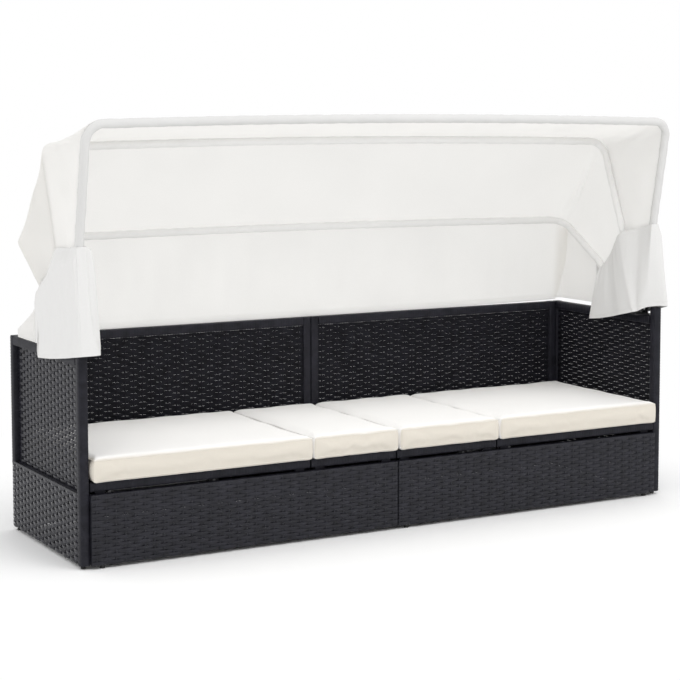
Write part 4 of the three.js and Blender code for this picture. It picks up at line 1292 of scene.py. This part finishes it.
def roof_grid(rear, front, phase):
    """The cover between two bows: it lies on both, sinks between them, and pulls at the corners."""
    cloth = bpy.context.scene.cloth
    shares = np.linspace(0.0012, 0.9988, 27)
    at_front = front is BOWS["front"]
    rows = []
    for share in shares:
        near_front = max(0, (share - 0.7) / 0.3) ** 2
        sink = cloth.cover_offset - cloth.sag * 4 * share * (1 - share)
        sink -= FRONT_SINK * near_front * at_front
        corner = COVER_CORNER + sink - cloth.cover_offset + FRONT_CORNER * at_front * share
        a, b = (bow_points(bow_line(bow, sink, corner, CHEEK_REACH, 15, 12, 26), bow)
                for bow in (rear, front))
        rows.append((1 - share) * a + share * b)
    grid = np.array(rows)
    run = np.linspace(-1, 1, grid.shape[1])[None, :]
    share = shares[:, None]
    corner = np.exp(-((np.abs(grid[:, :, 0]) - 0.9) / 0.07) ** 2)
    pull = np.sin(38 * run + 9 * share + phase) * np.exp(-((np.abs(run) - 0.72) / 0.16) ** 2)
    ripple = np.sin(27 * run + 4 * np.sin(3 * share + phase))
    waves = ROOF_RIPPLE * ripple + ROOF_PULL * pull + ROOF_CORNER * corner
    return grid + normals_of(grid) * (np.sin(np.pi * share) ** 2 * waves)[:, :, None]


def curtain_grid():
    """From the rear bow down to the back rail, with its free sides drawn in."""
    bow = BOWS["rear"]
    edge = bow_line(bow, bpy.context.scene.cloth.cover_offset, COVER_CORNER, SEAM_REACH, 1, 12, 40)
    first = int(np.argmax(edge[:, 0] >= COVER_CORNER - bow["half"]))
    edge = edge[first:-1]
    length = run_of(edge)
    across = np.linspace(-1, 1, 171)[None, :]
    share = np.concatenate([np.linspace(0, 0.08, 9), np.linspace(0.08, 1, 28)[1:]])[:, None]
    along = (across + 1) / 2 * length[-1]
    top_x, top_reach = (np.interp(along, length, edge[:, i]) for i in range(2))
    top = from_pivot(top_x, top_reach, bow["angle"] - 0.03)
    lift = CURTAIN_LIFT * unit(across) ** 3
    hem = np.stack([across * (END_LOW.x + 0.003), BACK_HIGH.y - TUBE / 2 + 0 * across,
                    RAIL_TOP + 0.001 + lift], axis=-1)
    grid = hem + share[:, :, None] * (top - hem)
    grid[:, :, 0] -= across * np.where(across < 0, *CURTAIN_DRAWN) * 4 * share * (1 - share)
    body = np.sin(np.pi * share)
    folds = CURTAIN_FOLD * np.cos(7 * np.pi * across + 0.8 * np.sin(4 * share)) * body
    fine = CURTAIN_FINE * np.sin(23 * np.pi * across + 2.5 * share) * body * (1 - 0.5 * share)
    rolled = CURTAIN_HEM * unit((0.055 - share) / 0.006)
    grid[:, :, 1] += folds + fine - rolled
    return grid


class DAYBED_OT_cover(bpy.types.Operator):
    """Lay the two roof panels and hang the rear curtain"""

    bl_idname = "daybed.cover"
    bl_label = "Canopy Cover"

    def execute(self, context):
        thickness = context.scene.cloth.cover_thickness
        for name, first, second, phase, material in (
                ("rear", "rear", "mid", 0.4, "curtain"), ("front", "mid", "front", 1.9, "canopy")):
            rear, front = BOWS[first], BOWS[second]
            grid = roof_grid(rear, front, phase)
            piece = cloth_sheet(f"cover_roof_{name}", grid, thickness)
            dress(piece, material, "canopy_fabric", f"canopy_roof_{name}")
            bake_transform(piece)
        grid = curtain_grid()
        piece = cloth_sheet("cover_curtain", grid, thickness)
        dress(piece, "curtain", "canopy_fabric", "canopy_curtain")
        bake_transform(piece)
        return {"FINISHED"}


# Side flaps

# Each flap: how far its tail and its front hem lie above the other's, how far back its tail
# reaches, how far up the rear bow's leg each tail station closes, how far the tail's end turns
# in, whether its inner edge slants back, how its front bends out (1 is straight), and how far
# from the pivot its seam starts at a bow, outside and inside
FLAPS = {
    "left": {"tail_lift": 0.0, "front_lift": 0.0, "tail": 0.413, "closed": (0.09, 0.2, 0.38, 0.6),
             "round": 0.0, "slanted": False, "flare": 4.5,
             "seam": {"rear": (0.285, 0.275), "mid": (0.285, 0.280)}},
    "right": {"tail_lift": 0.010, "front_lift": 0.030, "tail": 0.458, "closed": (0.88, 1, 1, 1),
              "round": 0.026, "slanted": True, "flare": 1.0,
              "seam": {"rear": (0.224, 0.215), "mid": (0.264, 0.262)}},
}
TAIL_SHARES = (1, 0.7, 0.35, 0.1)
TAIL_FROM = PIVOT.y + 0.26
# How far the flap's inner edge is pulled out to the cover between two bows
INNER_PULL = {"rear": 0.019, "front": 0.013}
# The flap's folds, each with its depth and its width along the hem, and how far the hem is
# turned back
FLAP_FOLD, FLAP_FINE, FLAP_GATHER = (0.0020, 0.107), (0.0009, 0.061), (0.0008, 0.031)
FLAP_HEM = 0.0010
# How far the seam lies inside the bow's cover, and how far the outer wall keeps from a bow's end
SEAM_TUCK, BOW_CLEAR = 0.0006, 0.0166


def smooth_path(values, places, wanted):
    """Carries values smoothly between their places, without running past any of them."""
    step = np.diff(places)[:, None]
    rise = np.diff(values, axis=0) / step
    slopes = np.zeros_like(values)
    same = rise[:-1] * rise[1:] > 0
    total = np.where(same, rise[:-1] + rise[1:], 1)
    slopes[1:-1] = np.where(same, 2 * rise[:-1] * rise[1:] / total, 0)
    slopes[0], slopes[-1] = rise[0], rise[-1]
    index = np.clip(np.searchsorted(places, wanted) - 1, 0, len(places) - 2)
    h = step[index]
    t = (wanted - places[index])[:, None] / h
    a, b = values[index], values[index + 1]
    ma, mb = slopes[index] * h, slopes[index + 1] * h
    return ((2 * t ** 3 - 3 * t ** 2 + 1) * a + (t ** 3 - 2 * t ** 2 + t) * ma
            + (-2 * t ** 3 + 3 * t ** 2) * b + (t ** 3 - t ** 2) * mb)


def seam_point(degrees, out, reach=SEAM_REACH):
    """A point of the flap's seam beside a bow, that far out along X."""
    return from_pivot(np.array(out), np.array(reach - SEAM_TUCK), degrees)


def flap_tail(flap, on_rail, front_y):
    """Top and hem of the tail, from its rear end forward."""
    rise = math.tan(math.radians(BOWS["rear"]["angle"]))
    x = END_HIGH.x - 0.002
    rear_y = PIVOT.y + flap["tail"]
    pairs = []
    if flap["round"]:
        leg = PIVOT.z + (flap["tail"] - 0.012) * rise
        turned = x - flap["round"]
        pairs.append((np.array([turned, rear_y + 0.007, on_rail + flap["closed"][0] * (leg - on_rail)]),
                      np.array([turned, rear_y + 0.017, on_rail])))
    for share, closed in zip(TAIL_SHARES, flap["closed"]):
        y = front_y + share * (rear_y - front_y)
        leg = PIVOT.z + (y - PIVOT.y) * rise - 0.0024
        out = x if closed < 0.7 else BOWS["rear"]["half"] + 0.0145
        pairs.append((np.array([out, y, on_rail + closed * (leg - on_rail)]),
                      np.array([x, y, on_rail])))
    return pairs


def flap_stations(flap):
    """Top and hem of the flap on +X, from its tail round the front post to the inside."""
    cloth = bpy.context.scene.cloth
    rear, mid, front = (BOWS[name] for name in ("rear", "mid", "front"))
    out, inside = END_HIGH.x + 0.011, END_LOW.x - 0.045
    rear_y, front_y = PIVOT.y + 0.208, END_LOW.y - 0.026
    low, front_hem = RAIL_TOP - 0.033, RAIL_TOP + 0.005 + flap["front_lift"]
    rail = RAIL_TOP + 0.0023 + flap["tail_lift"]
    (rear_reach, rear_inner), (mid_reach, mid_inner) = flap["seam"]["rear"], flap["seam"]["mid"]
    rear_out = seam_point(rear["angle"], rear["half"] + cloth.cover_offset, rear_reach)
    mid_out = seam_point(mid["angle"], mid["half"] + cloth.cover_offset, mid_reach)
    front_out = seam_point(front["angle"], front["half"] + cloth.cover_offset)
    rear_in = seam_point(rear["angle"] + 2, rear["end"] - 0.002, rear_inner)
    mid_in = seam_point(mid["angle"], mid["end"] - 0.009, mid_inner)
    near = front_out - np.array([0, cloth.cover_offset, 0])
    front_in = seam_point(front["angle"] - 2, front["half"] - 0.015)
    front_in[1] = near[1]

    def between(a, b, share, inward=cloth.sag):
        """A point between two seam points, drawn in towards the middle of the bed."""
        return a + share * (b - a) - np.array([inward * 4 * share * (1 - share), 0, 0])

    def hem(x, share):
        """A point of the hem, from the rear of the rail forward."""
        return np.array([x, rear_y + share * (front_y - rear_y),
                         low + share ** 1.3 * (front_hem - low)])

    def front_turn():
        """The stations from the front post inwards."""
        middle = (near + front_in) / 2
        if not flap["slanted"]:
            return ((middle, np.array([END_LOW.x + 0.007, front_y, front_hem])),
                    (front_in, np.array([inside + 0.014, front_y + 0.014, front_hem])),
                    (front_in + np.array([0, 0.004, 0]), hem(inside, 0.8)))
        fold = mid_in + 0.04 * (front_in - mid_in)
        return ((middle, np.array([END_HIGH.x - 0.016, front_y + 0.014, front_hem])),
                (front_in, np.array([inside + 0.026, front_y + 0.048, front_hem - 0.006])),
                (between(fold, front_in, 0.5, -INNER_PULL["front"]), hem(inside + 0.012, 0.75)),
                (fold, hem(inside, 0.7)))

    return np.array([
        *flap_tail(flap, rail, rear_out[1]),
        (rear_out, np.array([out, rear_y + 0.004, rail])),
        (between(rear_out, mid_out, 0.04), hem(out, 0)),
        (between(rear_out, mid_out, 0.5), hem(out, 0.3)),
        (mid_out, hem(out, 0.55)),
        (between(mid_out, front_out, 0.5), hem(out, 0.75)),
        (front_out, hem(out, 0.92)),
        (near, np.array([END_HIGH.x, front_y, front_hem])),
        *front_turn(),
        *((between(mid_in, rear_in, share, -INNER_PULL["rear"]), hem(inside, forward))
          for share, forward in ((0.12, 0.6), (0.5, 0.35), (0.85, 0.12))),
        (rear_in, hem(inside, 0)),
    ])


def flap_grid(side, flap):
    """The gathered flap: its folds open towards the hem."""
    pairs = flap_stations(flap)
    places = run_of(pairs.mean(axis=1))
    run = np.linspace(0, places[-1], 220)
    tops, hems = (smooth_path(pairs[:, i], places, run) for i in range(2))
    fall = np.concatenate([np.linspace(0, 0.93, 31), np.linspace(0.93, 1, 9)[1:]])[:, None]
    grid = tops[None] + fall[:, :, None] * (hems - tops)[None]

    # In front of the post and inside it, the cloth keeps in at first and then bends out
    inside = 0.3 + 0.7 * unit((hems[:, 0] - END_LOW.x + 0.04) / 0.02)
    bend = np.where(hems[:, 1] < END_LOW.y, flap["flare"], inside)
    curved = tops[:, 0] + fall ** bend * (hems - tops)[:, 0]
    grid[:, :, 0] = np.where(hems[:, 0] < END_HIGH.x - 0.012, curved, grid[:, :, 0])

    # Outside, it hangs clear of the bows' ends from a little below its top
    clear = np.maximum(grid[:, :, 0], BOWS["front"]["end"] + BOW_CLEAR)
    soon = unit(fall / 0.16)
    soon = soon * soon * (3 - 2 * soon)
    hung = grid[:, :, 0] + soon * (clear - grid[:, :, 0])
    grid[:, :, 0] = np.where(hems[:, 0] > END_HIGH.x + 0.004, hung, grid[:, :, 0])

    def waves(fold, bend=0.0):
        """Waves along the flap, of a fold's depth and width."""
        depth, width = fold
        return depth * np.sin(2 * np.pi * run / width + bend)

    tail_end = places[len(TAIL_SHARES) + bool(flap["round"])]
    quiet = np.clip((run - tail_end) / 0.08, 0.15, 1)
    folds = waves(FLAP_FOLD, 1.3 * np.sin(3 * fall)) + waves(FLAP_FINE, 2.1 * fall)
    folds = folds * np.sin(unit(fall) * 0.5 * np.pi) ** 1.2
    gathers = waves(FLAP_GATHER) * (1 - fall) ** 1.5 * unit(fall * 8)
    rolled = FLAP_HEM * unit((fall - 0.945) / 0.006)
    grid = grid - normals_of(grid) * ((folds + gathers) * quiet + rolled)[:, :, None]
    grid[:, :, 0] *= side
    return grid


class DAYBED_OT_flaps(bpy.types.Operator):
    """Gather the flap on each side over the rail"""

    bl_idname = "daybed.flaps"
    bl_label = "Side Flaps"

    def execute(self, context):
        for label, side in SIDES:
            grid = flap_grid(side, FLAPS[label])
            piece = cloth_sheet(f"cover_flap_{label}", grid, context.scene.cloth.cover_thickness)
            # The flap takes the cloth with painted shade; its tail, behind TAIL_FROM, keeps the plain
            # translucent canopy cloth
            dress(piece, "flap", "canopy_fabric", f"canopy_flap_{label}")
            paint_faces(piece, "canopy", lambda f: f.calc_center_median().y > TAIL_FROM)
            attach(piece, "frame")
            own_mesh(piece)
        return {"FINISHED"}


# Stage

# The photograph's camera: its place, how far it is turned and tilted in degrees, and how far
# the frame is shifted, in pixels of a frame this wide
CAMERA_PLACE = (-2.7108, -4.7958, 1.2473)
CAMERA_TURN, CAMERA_TILT = 29.68, 5.07
FRAME_PIXELS, SHIFT_PIXELS = 680, (-20, -70)
# Between these distances from the middle the floor fades to white
FLOOR_NEAR, FLOOR_FAR = 1.05, 1.9
WHITE = (1, 1, 1, 1)


def lamp(name, place, aim, size, power):
    """A round lamp that looks at a point."""
    place = Vector(place)
    turn = (place - Vector(aim)).to_track_quat("Z", "Y").to_euler()
    bpy.ops.object.light_add(type="AREA", location=place, rotation=turn)
    light = bpy.context.active_object
    light.name = name
    light.data.shape = "DISK"
    light.data.size = size
    light.data.energy = power


def floor_material(colour):
    """A pale floor with the object's shadow, that the camera sees fade to white further out."""
    material = bpy.data.materials.new("Floor")
    material.use_nodes = True
    nodes = Nodes(material.node_tree)
    body = nodes.tree.nodes["Principled BSDF"]
    body.inputs["Base Color"].default_value = (*colour, 1)
    body.inputs["Roughness"].default_value = 0.9
    body.inputs["Specular IOR Level"].default_value = 0.2
    place = nodes.add("ShaderNodeTexCoord").outputs["Object"]
    far = nodes.vector("LENGTH", a=place)["Value"]
    fade = nodes.math("MULTIPLY", nodes.ramp(far, FLOOR_NEAR, FLOOR_FAR, 0.0, 1.0), nodes.seen())
    white = nodes.add("ShaderNodeEmission", {"Color": WHITE, "Strength": 1.0})
    mix = nodes.add("ShaderNodeMixShader", {0: fade, 1: body.outputs[0], 2: white.outputs[0]})
    nodes.feed(nodes.tree.nodes["Material Output"].inputs[0], mix.outputs[0])
    return material


def set_world(strength):
    """Even light from all round, that the camera sees as plain white."""
    world = bpy.data.worlds.new("Studio")
    bpy.context.scene.world = world
    world.use_nodes = True
    world.node_tree.nodes.clear()
    nodes = Nodes(world.node_tree)
    level = nodes.ramp(nodes.seen(), 0.0, 1.0, strength, 1.0)
    back = nodes.add("ShaderNodeBackground", {"Color": WHITE, "Strength": level})
    nodes.add("ShaderNodeOutputWorld", {0: back.outputs[0]})


class DAYBED_OT_stage(bpy.types.Operator):
    """Set the camera, the lamps, the room light and the floor"""

    bl_idname = "daybed.stage"
    bl_label = "Stage"

    def execute(self, context):
        stage = context.scene.stage
        clear_selection()
        bpy.ops.object.camera_add(
            location=CAMERA_PLACE,
            rotation=(HALF_PI - math.radians(CAMERA_TILT), 0, -math.radians(CAMERA_TURN)))
        context.scene.camera = bpy.context.active_object
        camera = context.scene.camera.data
        camera.sensor_width = 36
        camera.lens = stage.focal
        camera.shift_x, camera.shift_y = (shift / FRAME_PIXELS for shift in SHIFT_PIXELS)
        camera.clip_end = 60
        bpy.ops.mesh.primitive_plane_add(size=30)
        floor = added("studio_floor")
        floor.data.materials.append(floor_material(stage.floor))
        lamp("front", (0.2, -2.65, 4.25), (0, 0, 0.4), 3.0, stage.key)
        lamp("side", (-4.2, 0.6, 1.1), (-0.9, 0, 0.4), 1.6, stage.key * 0.2)
        set_world(stage.sky)
        context.scene.view_settings.view_transform = "Standard"
        return {"FINISHED"}


# The add-on


class DAYBED_PT_build(bpy.types.Panel):
    """Lists the steps that dress the daybed"""

    bl_idname = "DAYBED_PT_build"
    bl_label = "Outdoor Daybed"
    bl_space_type = "VIEW_3D"
    bl_region_type = "UI"
    bl_category = "Daybed"

    def draw(self, context):
        for step in STEPS:
            self.layout.operator(step.bl_idname)
        for name in GROUPS:
            box = self.layout.box()
            group = getattr(context.scene, name)
            for key in group.__annotations__:
                box.prop(group, key)


STEPS = (DAYBED_OT_stage, DAYBED_OT_frames, DAYBED_OT_panels, DAYBED_OT_deck, DAYBED_OT_hardware,
         DAYBED_OT_cushions, DAYBED_OT_sleeves, DAYBED_OT_cover, DAYBED_OT_flaps)
GROUPS = {"strand": StrandSettings, "cloth": ClothSettings, "stage": StageSettings}
CLASSES = (*GROUPS.values(), *STEPS, DAYBED_PT_build)


def register():
    for entry in CLASSES:
        bpy.utils.register_class(entry)
    for name, group in GROUPS.items():
        setattr(bpy.types.Scene, name, PointerProperty(type=group))


def unregister():
    for name in GROUPS:
        delattr(bpy.types.Scene, name)
    for entry in reversed(CLASSES):
        bpy.utils.unregister_class(entry)


def main():
    register()
    MATERIALS.update(make_materials())
    bpy.ops.daybed.stage()
    bpy.ops.daybed.frames()
    bpy.ops.daybed.panels()
    bpy.ops.daybed.deck()
    bpy.ops.daybed.hardware()
    bpy.ops.daybed.cushions()
    bpy.ops.daybed.sleeves()
    bpy.ops.daybed.cover()
    bpy.ops.daybed.flaps()


if __name__ == "__main__":
    main()
